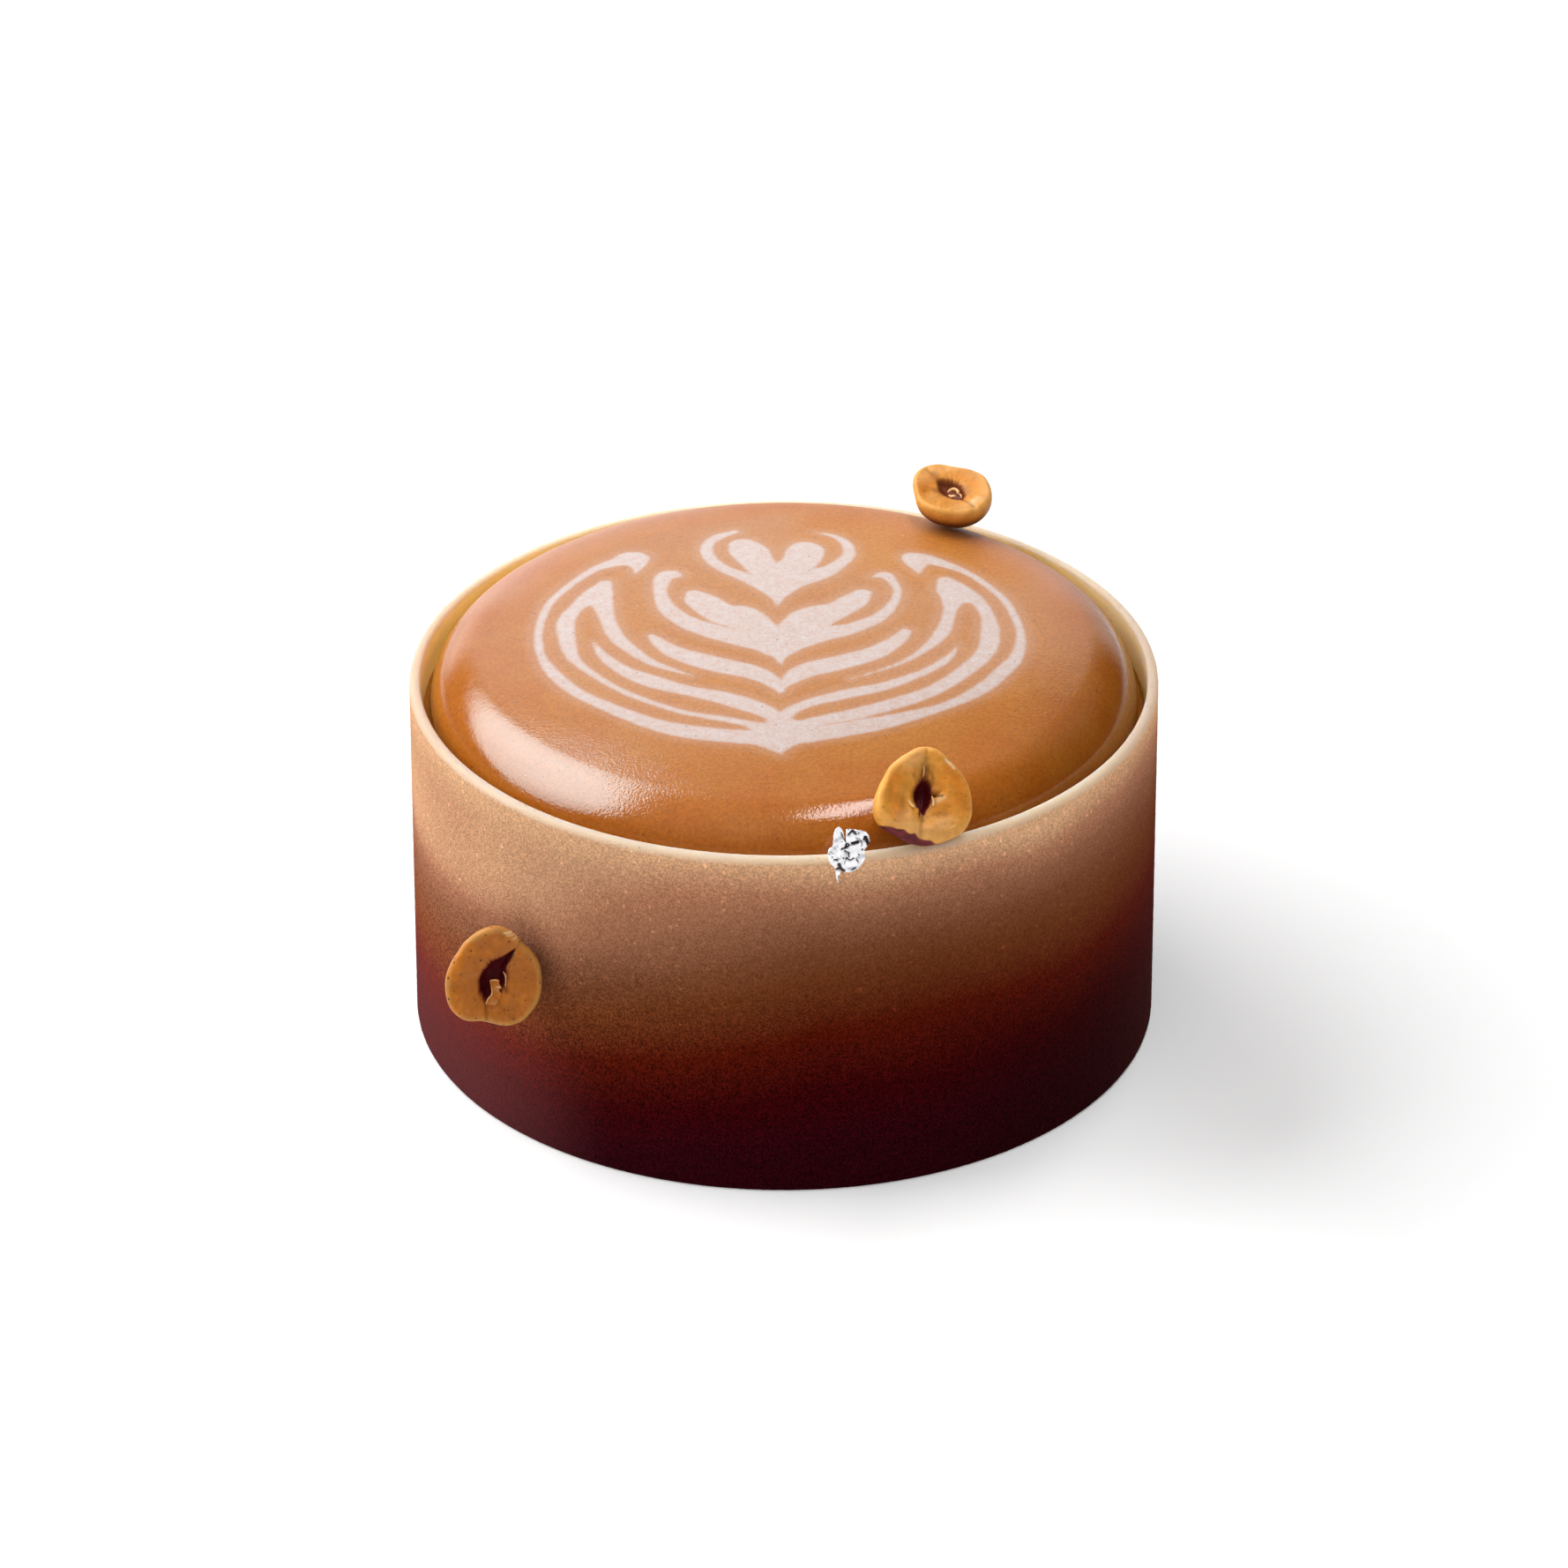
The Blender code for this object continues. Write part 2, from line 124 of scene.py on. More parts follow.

# Hazelnut halves. Places in metres and angles in degrees as in the imported model; the rest in millimetres.
# lobes: (share of the mean radius, direction) for each count of waves from 2 up.
# trim: (direction, change of the radius). hollow: its middle and depth; hollow_edge: (direction, reach).
# skin: (direction, depth under the face) of the papery skin's edge.
# bulge: (share, direction, spread) of the back's fullest side.
# dents: (across, up, half across, half up, turn, height). splits: (width, depth, points).
# stains: (kind, strength, half width, points). shreds: (half width, thickness, lift, points).
# Brown stains that follow the splits, and the near-black mark in the front kernel's deep dent, are painted
# shade there.
# The back's brown, deepening towards its far point, is painted shade.
KERNELS = {
    "hazelnut_front": {
        "centre": (0.02203, -0.054, 0.0687),
        "facing": (20, 47),
        "mean": 7.6,
        "depth": 6.7,
        "rounding": 1.25,
        "bulge": (0.21, -137, 44),
        "tone": 1.0,
        "shade_below": 0.0,
        "reddened": 1.0,
        "lobes": ((0.01, -49), (0.07, 23), (0.026, 0), (0.009, -30), (0.02, 19)),
        "trim": (
            (-180, -0.1), (-150, 0.0), (-110, -0.1), (-75, -0.1), (-45, -0.05), (-20, -0.08), (-5, -0.27),
            (10, -0.15), (90, 0.0),
        ),
        "hollow": (-0.3, -0.1, 2.6),
        "hollow_edge": (
            (-172, 2.35), (-163, 2.95), (-155, 2.45), (-128, 1.87), (-99, 1.6), (-57, 1.6), (-30, 1.8),
            (-7, 2.14), (18, 2.95), (26, 3.05), (38, 2.5), (67, 1.64), (125, 1.29), (165, 1.71),
        ),
        "skin": (
            (-180, 1.8), (-172, 1.0), (-160, 0.75), (-150, 0.5), (-140, 0.55), (-132, 0.9), (-122, 1.3),
            (-112, 2.4), (-95, 4.6), (90, 5.2), (150, 3.2),
        ),
        "dents": (
            (-3.9, -0.8, 0.75, 1.9, 8, -0.42), (-2.8, -0.3, 0.45, 1.6, 5, 0.16),
            (1.5, -3.6, 1.9, 0.9, 8, -0.18), (1.75, -0.25, 0.75, 0.3, -22, -0.75),
            (4.3, 0.2, 1.3, 3.0, 0, 0.18), (-1.2, 4.2, 1.5, 1.5, 0, 0.12), (-1.4, -5.6, 2.6, 0.9, 10, 0.2),
            (2.4, -4.9, 1.5, 0.5, 15, 0.15), (-5.3, 1.0, 0.7, 3.2, 12, -0.22),
        ),
        "splits": (
            (0.32, 0.2, ((0.6, 2.6), (1.1, 4.5), (2.3, 7.3))),
            (0.5, 0.16, ((-1.3, -2.9), (-1.9, -4.2), (-2.9, -7.4))),
        ),
        "stains": (
            ("brown", 0.75, 0.9, ((0.1, 2.4), (0.7, 3.3), (1.2, 4.0))),
            ("brown", 0.45, 0.35, ((1.7, 1.6), (1.8, 3.4))),
            ("brown", 0.4, 0.35, ((-0.6, 2.2), (-1.0, 3.4))),
            ("brown", 0.35, 0.5, ((1.1, 4.0), (1.7, 5.6))),
            ("brown", 0.32, 0.45, ((-1.5, -3.2), (-2.1, -4.8), (-2.8, -6.8))),
            ("brown", 0.45, 0.6, ((-1.2, -2.9), (-1.7, -4.0))),
            # Painted shade in the deep dent beside the hollow
            ("dark", 0.75, 0.22, ((1.2, -0.05), (1.9, -0.4), (2.5, -0.6))),
            ("brown", 0.3, 0.5, ((-3.7, -0.2), (-3.8, -1.9))),
            ("brown", 0.25, 0.5, ((0.5, -3.3), (1.6, -3.5), (2.6, -3.6))),
            ("pale", 0.7, 0.3, ((4.6, 4.8), (5.4, 3.4))), ("dark", 0.6, 0.1, ((4.9, 5.0), (5.2, 4.6))),
            ("pale", 0.45, 0.35, ((1.5, -1.3), (2.7, -0.9))),
            ("amber", 0.6, 1.2, ((2.4, -2.4), (4.0, -1.6))),
            ("dark", 0.6, 0.12, ((-6.1, -3.1), (-6.0, -3.3))),
            ("pale", 0.16, 1.5, ((-4.6, -3.2), (-3.0, -4.9), (-1.0, -5.8), (1.8, -5.4))),
            ("pale", 0.16, 1.3, ((-1.4, 5.4), (0.4, 6.0))),
            ("amber", 0.8, 1.6, ((4.4, 2.8), (5.4, 0.2), (5.0, -2.6))),
            ("amber", 0.7, 1.0, ((-5.0, -2.2), (-5.3, 0.8), (-4.0, 3.6))),
            ("amber", 0.4, 1.2, ((1.2, 1.5), (3.0, 1.0))),
        ),
        "shreds": (
            (0.28, 0.26, 0.06, ((-3.05, -0.4), (-2.85, -1.1), (-2.4, -1.8))),
            (0.2, 0.26, 0.1, ((0.88, -0.3), (0.9, -1.2), (0.55, -2.2))),
            (0.11, 0.14, 0.03, ((1.9, -6.4), (2.5, -6.0), (3.4, -5.8))),
            (0.08, 0.12, 0.02, ((0.2, 2.7), (0.6, 3.6), (0.8, 4.6))),
        ),
        "flaps": (),
    },
    "hazelnut_back": {
        "centre": (0.02744, 0.04332, 0.07121),
        "facing": (-25, 80),
        "mean": 6.8,
        "depth": 6.3,
        "rounding": 0.9,
        "bulge": (0.0, 0, 400),
        "tone": 0.72,
        "shade_below": 0.9,
        "reddened": 0.7,
        "lobes": ((0.111, -61), (0.028, -60), (0.043, 30), (0.011, 13)),
        "trim": ((-180, 0.0), (-60, -0.1), (-30, -0.2), (0, -0.1), (60, 0.0), (90, 0.12), (130, 0.0)),
        "hollow": (-0.3, 0.5, 1.7),
        "hollow_edge": (
            (-153, 1.6), (-120, 1.75), (-88, 2.15), (-70, 3.0), (-60, 3.5), (-50, 3.0), (-43, 2.7),
            (-8, 1.9), (25, 1.75), (55, 1.9), (90, 2.3), (111, 3.0), (124, 3.4), (137, 2.9), (153, 2.3),
            (175, 1.8),
        ),
        "skin": ((-180, 9.0), (0, 9.0)),
        "dents": (
            (-3.6, -1.2, 1.3, 2.2, -30, -0.45), (3.6, 2.0, 1.5, 2.3, -30, -0.35),
            (0.9, -3.6, 2.4, 0.9, -15, 0.15), (-1.4, 4.3, 2.2, 0.9, -25, 0.2),
            (4.9, -1.8, 0.8, 1.3, 20, 0.18), (0.2, 0.5, 2.8, 1.9, 35, -0.45),
        ),
        "splits": (
            (0.45, 0.3, ((-2.9, 2.0), (-4.2, 2.7), (-6.0, 3.8))),
            (0.38, 0.26, ((2.6, -1.4), (4.4, -2.6), (6.2, -3.8))),
        ),
        "stains": (
            ("brown", 0.4, 0.45, ((-2.9, 2.1), (-3.8, 2.7), (-4.6, 3.1))),
            ("brown", 0.5, 0.28, ((2.5, -1.3), (4.2, -2.5), (5.6, -3.4))),
            ("brown", 0.55, 0.8, ((-2.6, -0.6), (-1.1, -1.2), (1.2, -1.6))),
            ("brown", 0.35, 0.9, ((2.0, 1.6), (2.8, 0.4))), ("pale", 0.45, 0.9, ((5.0, -2.4), (5.5, -1.4))),
            ("amber", 0.7, 1.4, ((-4.6, 0.4), (-4.2, -2.2))), ("amber", 0.5, 1.2, ((0.6, 3.4), (3.4, 3.0))),
            ("brown", 0.25, 0.25, ((-4.4, -0.4), (-3.4, -0.5))),
            (
                "pale", 0.12, 1.5,
                ((-5.7, 0.8), (-4.2, 4.4), (0.5, 5.2), (5.0, 3.4), (6.2, 0.0), (3.8, -4.6)),
            ),
        ),
        "shreds": (
            (0.3, 0.42, -0.75, ((-0.75, 0.1), (-0.55, 0.95), (0.15, 1.25), (0.8, 0.85), (0.95, 0.2))),
            (0.34, 0.34, -1.05, ((-0.6, 0.0), (0.1, -0.15), (0.8, 0.1))),
            (0.16, 0.24, -0.85, ((1.0, 0.6), (1.7, 0.0), (2.1, -0.7))),
        ),
        "flaps": (),
    },
    "hazelnut_side": {
        "centre": (-0.0454, -0.05131, 0.03373),
        "facing": (8, 15),
        "mean": 7.84,
        "depth": 6.7,
        "rounding": 0.85,
        "bulge": (0.0, 0, 400),
        "tone": 0.0,
        "shade_below": 0.0,
        "reddened": 1.0,
        "lobes": ((0.021, -13), (0.056, 6), (0.018, -21), (0.024, 9), (0.004, -10), (0.011, 15)),
        "trim": (
            (-180, -0.1), (-120, 0.0), (-90, -0.1), (-65, -0.25), (-45, -0.3), (-20, -0.15), (0, -0.12),
            (20, -0.03), (40, 0.0),
        ),
        "hollow": (0.48, 0.45, 2.5),
        "hollow_edge": (
            (-176, 2.9), (-163, 3.8), (-157, 4.6), (-151, 4.3), (-133, 3.69), (-112, 2.96), (-82, 2.43),
            (-47, 2.07), (-9, 2.49), (14, 2.85), (26, 3.6), (33, 4.6), (37, 5.7), (41, 3.6), (47, 2.5),
            (60, 1.75), (90, 1.5), (123, 1.53), (163, 2.31),
        ),
        "skin": ((-180, 4.6), (-90, 4.6), (0, 3.8), (60, 2.4), (90, 2.2), (130, 2.6)),
        "dents": (
            (-4.9, 1.2, 0.9, 3.4, 12, -0.26), (4.2, -2.2, 1.4, 2.4, 15, 0.12),
            (-2.2, -5.6, 2.0, 0.9, 0, 0.1), (0.6, 5.8, 2.2, 0.9, 0, -0.12), (-3.4, -6.6, 0.9, 0.9, 0, -0.3),
        ),
        "splits": (
            (0.16, 0.14, ((4.1, 5.2), (4.5, 6.0))),
            (0.24, 0.12, ((-1.4, -3.9), (-1.5, -6.3), (-1.3, -7.4))),
        ),
        "stains": (
            ("brown", 0.45, 0.3, ((-1.45, -4.0), (-1.5, -6.4))),
            ("brown", 0.35, 0.2, ((4.0, 5.3), (4.4, 6.0))), ("pale", 0.75, 0.12, ((1.9, 7.5), (3.1, 7.5))),
            ("pale", 0.8, 0.11, ((3.3, 6.4), (4.0, 6.8))), ("pale", 0.7, 0.09, ((2.3, 7.0), (3.6, 7.1))),
            ("pale", 0.6, 0.09, ((3.5, 4.1), (2.6, 2.9), (2.15, 1.5))),
            ("amber", 0.9, 1.0, ((-6.2, 1.0), (-5.4, 3.4), (-3.6, 5.4))),
            ("amber", 0.6, 1.0, ((-6.6, -1.6), (-6.0, -4.4))),
            ("brown", 0.16, 1.6, ((3.6, 2.6), (4.6, -1.2))),
            ("brown", 0.6, 0.35, ((1.9, -1.6), (1.9, -2.2))),
        ),
        "shreds": (
            (0.11, 0.16, -0.06, ((1.45, 1.25), (1.85, 0.3), (1.75, -1.3))),
            (0.11, 0.16, 0.02, ((-1.5, -3.9), (-1.15, -3.1), (-0.5, -2.4), (-0.42, -1.5), (-0.55, -0.5))),
            (0.13, 0.22, -0.12, ((-0.65, -0.25), (0.0, -0.2), (0.75, -0.3))),
            (0.14, 0.18, -0.02, ((0.1, -1.35), (0.6, -1.25), (1.1, -1.55))),
            (0.09, 0.12, 0.06, ((2.0, 7.2), (2.6, 7.35), (3.2, 7.2))),
        ),
        "flaps": (
            (
                (-1.5, -3.95), (-1.15, -3.05), (-0.5, -2.4), (-0.42, -1.5), (-0.62, -0.5), (-0.55, -0.22),
                (0.25, -0.18), (0.9, -0.3), (0.8, -0.8), (1.15, -1.45), (0.7, -1.8), (1.05, -2.45),
                (0.8, -3.3), (0.0, -4.1),
            ),
        ),
    },
}

# Silver leaf, in millimetres across and up from its middle. The marks are its creases, darkened as painted
# shade, and its gaps.
LEAF_AZIMUTH = 9.3
LEAF_ABOVE_RIM = 1.1
LEAF_LEAN = 22
LEAF_EDGE = (
    (-2.03, 2.53), (-1.75, 3.32), (-1.08, 3.72), (-0.55, 3.24), (-0.42, 2.87), (-0.26, 1.91), (-0.15, 1.45),
    (-0.08, 1.89), (0.02, 3.35), (0.25, 3.33), (2.17, 2.95), (3.26, 2.55), (3.61, 1.93), (3.68, 0.82),
    (3.39, 0.56), (2.81, 0.32), (2.6, -0.06), (2.72, -0.78), (2.65, -1.41), (1.97, -2.5), (1.62, -2.78),
    (1.15, -3.12), (0.53, -3.42), (-0.01, -3.39), (-0.56, -3.42), (-1.1, -3.03), (-1.28, -3.75),
    (-1.4, -4.84), (-1.57, -5.2), (-1.73, -4.5), (-1.89, -3.23), (-2.12, -2.19), (-2.66, -1.6),
    (-3.09, -0.72), (-3.1, -0.27), (-2.85, 0.61), (-2.29, 0.89), (-2.13, 1.39),
)
LEAF_MARKS = (
    (0.3, ((0.98, 1.07), (1.81, 1.2))), (0.18, ((0.0, 1.18), (-0.25, 0.63), (-0.81, 0.39))),
    (0.16, ((0.0, 1.18), (0.39, 0.89), (-0.12, 0.55))), (0.2, ((0.43, 2.49), (1.02, 2.89), (1.48, 2.53))),
    (0.12, ((-0.75, 2.74), (-0.5, 2.05), (-0.12, 1.51))), (0.16, ((-0.35, 0.09), (-0.08, 0.03))),
    (0.14, ((0.2, -0.11), (0.24, -0.75))), (0.15, ((-0.17, -0.91), (0.5, -1.29), (0.91, -0.94))),
    (0.07, ((-0.17, -0.97), (-0.52, -2.01))), (0.2, ((-2.01, -1.04), (-1.61, -1.1))),
    (0.3, ((-1.31, -1.86), (-1.04, -2.67), (-0.6, -3.15))), (0.22, ((-1.78, -2.6), (-1.17, -2.66))),
    (0.2, ((0.71, -2.99), (1.21, -2.73))), (0.34, ((3.03, 1.75), (3.26, 1.21), (3.43, 0.8))),
    (0.16, ((2.73, 1.52), (3.19, 1.92))), (0.1, ((1.37, -1.18), (1.62, -1.68))),
    (0.1, ((1.73, -0.49), (1.86, -0.7))), (0.14, ((-1.36, -4.0), (-1.34, -4.3))),
    (0.12, ((2.33, 0.09), (2.45, 0.14))), (0.08, ((1.51, 2.02), (1.76, 1.61))),
    (0.08, ((1.92, 1.85), (2.29, 1.31), (2.45, 0.65))),
)

# Latte-art leaf with a heart on top: strokes of milk foam as (across, back, half width), seen from above
FOAM_STROKES = (
    (
        (-24, 21.8, 0.1), (-23.7, 25.6, 1.6), (-24.6, 28.1, 2.8), (-26.6, 27.3, 1.9), (-30.8, 24.7, 1.1),
        (-35.4, 18, 0.9), (-38.1, 11.9, 0.9), (-39.3, 3.5, 0.9), (-38.7, -4.2, 0.9), (-36.4, -10.9, 1.3),
        (-31.9, -17.9, 1.3), (-22.9, -25.9, 1.6), (-15.5, -30, 2), (-4.6, -32.2, 2.2), (0.2, -30.5, 3.8),
        (-0.5, -36.2, 0.6),
    ),
    (
        (-29.5, 20.4, 0.1), (-30.6, 15.1, 2.3), (-33.3, 11, 1.5), (-35, 5.5, 1.7), (-34.1, -3.6, 1.4),
        (-32.5, -8.2, 1), (-28.2, -14.4, 0.8), (-23.2, -19.5, 0.8), (-16.3, -24.3, 0.8),
        (-10.3, -26.6, 0.9), (-5.1, -28.7, 1.2), (-0.1, -32, 2.7),
    ),
    (
        (-28.8, 19, 1.3), (-29.4, 14.3, 2.1), (-28.4, 7.1, 1.5), (-26.9, 0.4, 1.5), (-24.4, -4.4, 1.3),
        (-21, -9, 1), (-16.8, -12.2, 0.6), (-14, -14, 0.1),
    ),
    (
        (-30.3, -1.6, 0.4), (-28.8, -5.9, 1), (-25.7, -10.7, 1.4), (-21.2, -14.7, 1.9), (-15, -18.3, 1.6),
        (-8.7, -21.1, 2), (-2.6, -25.1, 1.8), (-1.3, -28.2, 0.7),
    ),
    (
        (-21.1, -0.4, 0.8), (-20.1, -2.2, 1.3), (-17.3, -6.1, 1.9), (-11.4, -10, 2.4), (-4.1, -13.6, 2.1),
        (-0.8, -17.8, 1.2), (-0.7, -19.9, 0.1),
    ),
    (
        (-16.6, 20.3, 0.3), (-18.3, 21.1, 1.8), (-19.5, 19.8, 1.7), (-19.9, 14.5, 1.3), (-18.7, 8.9, 1.7),
        (-15.6, 3.9, 2), (-11.2, 0.4, 2.4), (-5.5, -2.8, 2.6), (-1.5, -5.2, 2.4), (-0.2, -11, 0.1),
    ),
    ((-14.6, 13.8, 1.4), (-13.1, 10.9, 2.8), (-9.5, 6, 3.3), (-6.3, 4.3, 3.8), (1, -6, 1.4)),
    (
        (-8, 37.5, 0.8), (-10.6, 35.6, 1.2), (-12.4, 32.3, 1.2), (-12.2, 27.8, 1.3), (-10.1, 23.3, 1.3),
        (-5.8, 18.9, 1.6), (-1.9, 14.5, 1.9), (-0.8, 8.5, 0.1),
    ),
    ((-6.6, 32, 2.6), (-5.6, 29.2, 3.4), (-4, 24.4, 3), (-1.5, 18.9, 2.7), (0, 16.1, 1.2)),
    (
        (5.2, 37.2, 0.2), (8.2, 35.7, 0.8), (10.2, 32.6, 1.1), (10.5, 27.9, 1.3), (7.8, 22.6, 1.7),
        (5.1, 20.1, 2.3), (1.5, 16.1, 1.6), (-1.5, 8.8, 0.1),
    ),
    ((3.5, 30.5, 2.8), (3.5, 29.2, 3.3), (2.7, 25.5, 3.3), (-0.3, 19.2, 2.8), (-0.3, 15.7, 1.3)),
    (
        (14.4, 19.8, 0.3), (16.3, 20.7, 1.3), (17.6, 18.3, 1), (18.3, 14.4, 0.9), (17.3, 9.4, 1.1),
        (14.8, 4.8, 1.5), (10.3, 1, 1.9), (5.9, -1, 2.4), (1, -6.2, 1), (-1, -10.2, 0.2),
    ),
    ((12.8, 13.7, 1.6), (11.3, 10.9, 2.5), (8.3, 7.3, 2.8), (4, 3.9, 3.8), (-2, -5.9, 2)),
    (
        (19.5, 0.8, 1.1), (18, -2.3, 1.6), (14.4, -6.6, 2.1), (9.1, -9.8, 2.3), (3.5, -12.6, 2.3),
        (0.9, -15.6, 1.5), (-0.9, -19.1, 0.3),
    ),
    (
        (28, -2.5, 0.1), (26.1, -7.2, 0.9), (22.5, -11.8, 1), (16.2, -16.7, 1.3), (9.6, -19.7, 1.5),
        (3.4, -22.8, 1.3), (0, -26.3, 1.5), (-0.4, -30.5, 2.4),
    ),
    (
        (26.3, 20.1, 1.1), (27.9, 15.4, 3.1), (31.1, 12.9, 1.6), (32.7, 7.8, 1.4), (33, 1.3, 1.8),
        (32.2, -4.3, 1.7), (29.6, -9.7, 1.6), (24, -17.2, 1.6), (18.1, -21.6, 1.7), (10.6, -25.7, 1.7),
        (4.8, -27.9, 1.5), (-1.3, -31.3, 1.7),
    ),
    (
        (25.8, 19.6, 1.1), (27.3, 16.2, 2.7), (26.7, 8.9, 1.3), (25.3, 1.1, 1.4), (22.2, -5.1, 0.9),
        (17.9, -10.1, 0.6), (10.6, -15, 0.3),
    ),
    (
        (21.9, 21.4, 0.2), (21.5, 26.7, 2.3), (21.2, 28.4, 1.7), (23.8, 27.3, 1.8), (29.4, 23.4, 1),
        (33.9, 17.1, 0.9), (36.4, 11.2, 0.9), (37.9, 2.7, 0.9), (37.2, -4.8, 1.3), (34.9, -10.1, 1.5),
        (31.1, -16.5, 1.5), (24.9, -22.4, 1.2), (15.4, -27.7, 2), (6.9, -30.7, 2.2), (2, -31.7, 2.5),
        (-3.5, -32.6, 1.8), (-0.2, -37.2, 0.2),
    ),
)
FOAM_REACH = 46.0
FOAM_BLEND = 0.7
FAR = 1e3

# Camera and lights of the photograph. Places of lights: azimuth, elevation, distance, roll, height aimed at.
# The panel is the softbox in reflections: its pointed and its blunt end, and how far each reaches.
CAMERA_DISTANCE = 1.44234
CAMERA_ELEVATION = 30.893
CAMERA_AIM_HEIGHT = 0.0399
CAMERA_ROLL = -0.00164031
CAMERA_LENS = 202.47
SOFTBOX_SIZE = (1.68, 1.04)
SOFTBOX_PLACE = (-110.7, 41.7, 1.2, -19.5, 0.06)
SOFTBOX_SEEN_FROM_GLAZE = (-108.7, 40.7, 1.0, -21.0, 0.0)
PANEL_REACH = (1.12, 0.74)
PANEL_POWER = (1.4, 2.5)
PANEL_HALF_WIDTH = 0.455
BACKDROP_HEIGHT = 0.64
WHITE_ROOM = 1.05
STRIP_SIZE = (0.66, 0.17)
STRIP_PLACE = (123.7, 78.6, 1.1, -40.0, 0.06)


def colour(name, description, default):
    return bpy.props.FloatVectorProperty(
        name=name, description=description, subtype="COLOR", size=3, min=0.0, max=1.0, default=default
    )


def length(name, description, millimetres):
    return bpy.props.FloatProperty(
        name=name, description=description, subtype="DISTANCE", unit="LENGTH", min=0.0, precision=6,
        default=millimetres * MM,
    )


def brightness(name, description, default):
    return bpy.props.FloatProperty(name=name, description=description, min=0.0, default=default)


def count(name, description, least, default):
    return bpy.props.IntProperty(name=name, description=description, min=least, default=default)


class VelvetSettings(bpy.types.PropertyGroup):
    foot: colour("Foot", "Spray colour at the foot", (0.031, 0.0013, 0.0046))
    wine: colour("Wine", "Spray colour at a third of the height", (0.046, 0.0011, 0.0022))
    rust: colour("Rust", "Spray colour at half height", (0.094, 0.0075, 0.0021))
    umber: colour("Umber", "Spray colour above half height", (0.162, 0.0425, 0.0120))
    brown: colour("Brown", "Spray colour at three quarters of the height", (0.208, 0.0690, 0.0280))
    tan: colour("Tan", "Spray colour under the sand band", (0.310, 0.125, 0.0635))
    sand: colour("Sand", "Spray colour under the cream band", (0.472, 0.206, 0.112))
    cream: colour("Cream", "Colour of the cream band below the rim", (0.80, 0.457, 0.250))
    rim: colour("Rim", "Colour of the bare rim", (0.74, 0.54, 0.43))
    inside: colour("Inside", "Colour of the bare wall inside the rim", (0.88, 0.63, 0.36))
    lean: length("Lean", "How much lower the pale bands reach on the left", 16.5)
    relief: length("Relief", "Depth of the sprayed surface's grain", 0.12)
    relief_size: length("Relief Size", "Size of the sprayed surface's grain", 0.9)
    grain: length("Grain", "Size of the finest spray droplets", 0.30)
    granule_smallest: length("Smallest Granule", "Radius of the smallest loose granules", 0.05)
    granule_largest: length("Largest Granule", "Radius of the largest loose granules", 0.16)
    granules: count("Granules", "Granules per square centimetre", 0, 36)
    segments: count("Segments", "Faces round the ring", 64, 640)


class GlazeSettings(bpy.types.PropertyGroup):
    caramel: colour("Caramel", "Colour of the caramel glaze", (0.465, 0.168, 0.024))
    amber: colour("Amber", "Darker glaze where it pools", (0.405, 0.103, 0.007))
    foam: colour("Foam", "Colour of the milk-foam pattern", (0.61, 0.53, 0.515))
    foam_edge: length("Foam Edge", "Width of the pattern's soft edge", 0.65)
    ripple: length("Ripple", "Depth of the glaze's slow unevenness", 0.02)
    ripple_size: length("Ripple Size", "Size of the glaze's slow unevenness", 5)
    pore: length("Pore", "Size of the finest pores and bubbles", 0.22)
    segments: count("Segments", "Faces round the dome", 64, 704)


class KernelSettings(bpy.types.PropertyGroup):
    flesh: colour("Flesh", "Colour of the cut face", (0.40, 0.118, 0.013))
    bright: colour("Bright Flesh", "Colour of the lighter kernel's face", (0.66, 0.275, 0.036))
    amber: colour("Amber", "Colour of the band inside the rounded edge", (0.56, 0.165, 0.007))
    edge: colour("Edge", "Colour of the rounded edge", (0.78, 0.37, 0.080))
    pale: colour("Pale", "Colour of torn shreds and scratches", (0.92, 0.66, 0.38))
    # Brown also paints shade along the splits and over the back kernel's back.
    brown: colour("Brown", "Colour of stains round the hollow", (0.085, 0.018, 0.004))
    hollow: colour("Hollow", "Colour deep in the hollow", (0.12, 0.006, 0.009))
    skin: colour("Skin", "Colour of the papery skin on the back", (0.20, 0.022, 0.030))
    segments: count("Segments", "Faces round each kernel", 32, 208)


class LeafSettings(bpy.types.PropertyGroup):
    silver: colour("Silver", "Colour of the silver leaf", (0.96, 0.95, 0.96))
    # The gap colour also paints shade in the leaf's creases.
    gap: colour("Gap", "Colour of its dark creases and gaps", (0.030, 0.010, 0.014))
    thickness: length("Thickness", "Thickness of the leaf", 0.06)
    crumple: length("Crumple", "Height of the leaf's crumples", 0.75)
    spacing: length("Spacing", "Distance between the leaf's mesh points", 0.12)


class StageSettings(bpy.types.PropertyGroup):
    floor: colour("Floor", "Colour of the floor", (0.90, 0.90, 0.90))
    floor_size: length("Floor Size", "Side of the floor", 12000)
    softbox: brightness("Softbox", "Brightness of the large softbox at the left", 3.6)
    mirrored: brightness("Mirrored", "Brightness of the softbox in reflections", 12.0)
    overhead: brightness("Overhead", "Brightness of the strip light overhead", 12.0)
    room: brightness("Room", "Brightness of the room overhead", 0.38)
    front: brightness("Front", "Brightness of the room in front", 0.60)
    horizon: brightness("Horizon", "Brightness of the room near the horizon behind", 1.8)
    glow: brightness("Glow", "How much the floor lights up its own shadows", 0.28)


class CakeSettings(bpy.types.PropertyGroup):
    velvet: bpy.props.PointerProperty(type=VelvetSettings)
    glaze: bpy.props.PointerProperty(type=GlazeSettings)
    kernel: bpy.props.PointerProperty(type=KernelSettings)
    leaf: bpy.props.PointerProperty(type=LeafSettings)
    stage: bpy.props.PointerProperty(type=StageSettings)


